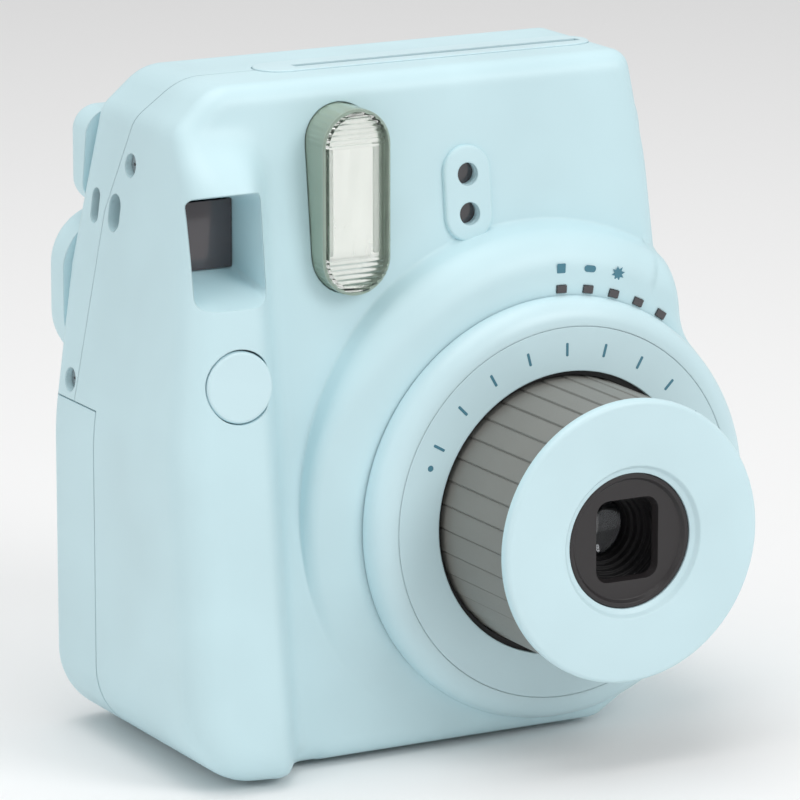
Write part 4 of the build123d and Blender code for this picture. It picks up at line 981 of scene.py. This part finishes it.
# %% [markdown]
# ## Finder window and printed marks
#
# The finder's window fills the narrow end of its funnel. The marks are printed ink: thin flat pieces that sit
# a few hundredths of a millimetre above the plastic. On this camera they are plain: a ring of ticks and dots on
# the dial's face, and a square, a bar and a star above the lamps, so that the dial can be read at a glance.
# Printing them as geometry keeps their edges sharp at any distance.

# %% Finder window
window_x, window_z = -44.8, 92.0
window = box_piece("finder_window", window_x - 5.7, window_x + 5.7, -13.2, -12.0,
                   window_z - 6.0, window_z + 6.0, 0.15)
smooth(window, 40)
keep(window, "camera_body", finder_dark, ("viewfinder_window",))


# %% Marks on the dial's face and over the lamps
def mark(outline, r, degrees, y):
    """A thin printed shape on a ring about the lens, turned to face outwards."""
    piece = pulled("mark", outline, 0, 0, -0.04, 0.02)
    turned = math.radians(degrees)
    place = at(lens_x + r * math.sin(turned), y, lens_z + r * math.cos(turned))
    turn = Matrix.Rotation(turned, 4, "Y")
    piece.data.transform(Matrix.Translation(place) @ turn @ Matrix.Translation(-at(0, 0, 0)))
    return piece


FACE_MARK_R, FACE_MARK_Y = 29.3, -32.7
tick = frame_outline(0.5, 2.4, 0.2)
face_marks = [mark(tick, FACE_MARK_R, degrees, FACE_MARK_Y) for degrees in range(-60, 75, 15)]
face_marks += [mark(circle(0.55, 20), FACE_MARK_R, degrees, FACE_MARK_Y) for degrees in (-67.5, 67.5)]
ring_marks = joined("face_marks", face_marks)
smooth(ring_marks, 30)
keep(ring_marks, "camera_body", ink)


def star(inner, outer, points):
    """A star's outline."""
    return [((outer if i % 2 else inner) * math.cos(math.pi * i / points),
             (outer if i % 2 else inner) * math.sin(math.pi * i / points)) for i in range(2 * points)]


LAMP_MARK_R, LAMP_MARK_Y = 42.6, -27.52
lamp_signs = [frame_outline(1.7, 1.7, 0.15), frame_outline(2.3, 1.2, 0.55), star(0.75, 1.35, 8)]
lamp_marks = [mark(lamp_signs[i], LAMP_MARK_R, lamp_angles[i], LAMP_MARK_Y) for i in (2, 1, 0)]
base_marks = joined("lamp_marks", lamp_marks)
smooth(base_marks, 30)
keep(base_marks, "camera_body", ink)
print("marks:", len(ring_marks.data.polygons) + len(base_marks.data.polygons), "faces")

# %% [markdown]
# ## Camera, floor and light
#
# The camera stands a metre away with a long lens, a little above and to the grip's side, as in a catalogue
# picture. A long lens keeps the ring on the barrel from swelling. Three large soft lights do the work: one
# over the camera's shoulder, one above for the pale top, and a weak one that lifts the grip's side.

# %% Camera
azimuth, elevation = math.radians(-28.49), math.radians(13.41)
target = at(0.78, 0.0, 55.19)
level = math.cos(elevation)
away = Vector((math.sin(azimuth) * level, -math.cos(azimuth) * level, math.sin(elevation)))
cam = bpy.data.cameras.new("camera_view")
cam.lens, cam.sensor_width = 252.8, 36.0
cam.clip_start, cam.clip_end = 0.05, 20.0
view = bpy.data.objects.new("camera_view", cam)
view.location = target + away
view.rotation_euler = (-away).to_track_quat("-Z", "Y").to_euler()
bpy.context.scene.collection.objects.link(view)
bpy.context.scene.camera = view

# %% Floor and light
bpy.ops.object.select_all(action="DESELECT")
bpy.ops.mesh.primitive_plane_add(size=6, location=(0, 0, 0))
floor = named("floor")
paper = Finish("pale_paper")
paper.set(Base_Color=rgb(0.9, 0.9, 0.9), Roughness=0.8)
floor.data.materials.append(paper.material)
world = bpy.data.worlds.new("studio")
bpy.context.scene.world = world
world.use_nodes = True
world.node_tree.nodes["Background"].inputs["Color"].default_value = (1, 1, 1, 1)
world.node_tree.nodes["Background"].inputs["Strength"].default_value = 0.55


def softbox(name, place, power, size, size_y, aim=(0, 0, 0.06)):
    """A rectangular soft light that faces the camera being lit."""
    light = bpy.data.lights.new(name, "AREA")
    light.shape, light.size, light.size_y, light.energy = "RECTANGLE", size, size_y, power
    lamp = bpy.data.objects.new(name, light)
    lamp.location = place
    lamp.rotation_euler = (Vector(place) - Vector(aim)).to_track_quat("Z", "Y").to_euler()
    bpy.context.scene.collection.objects.link(lamp)
    return lamp


softbox("key", (0.5, -0.9, 0.75), 4.4, 0.5, 0.6)
softbox("top", (-0.1, 0.05, 1.0), 4.5, 0.9, 0.7)
softbox("side", (-1.0, -0.3, 0.35), 1.2, 0.5, 0.8)
bpy.context.scene.view_settings.view_transform = "Standard"
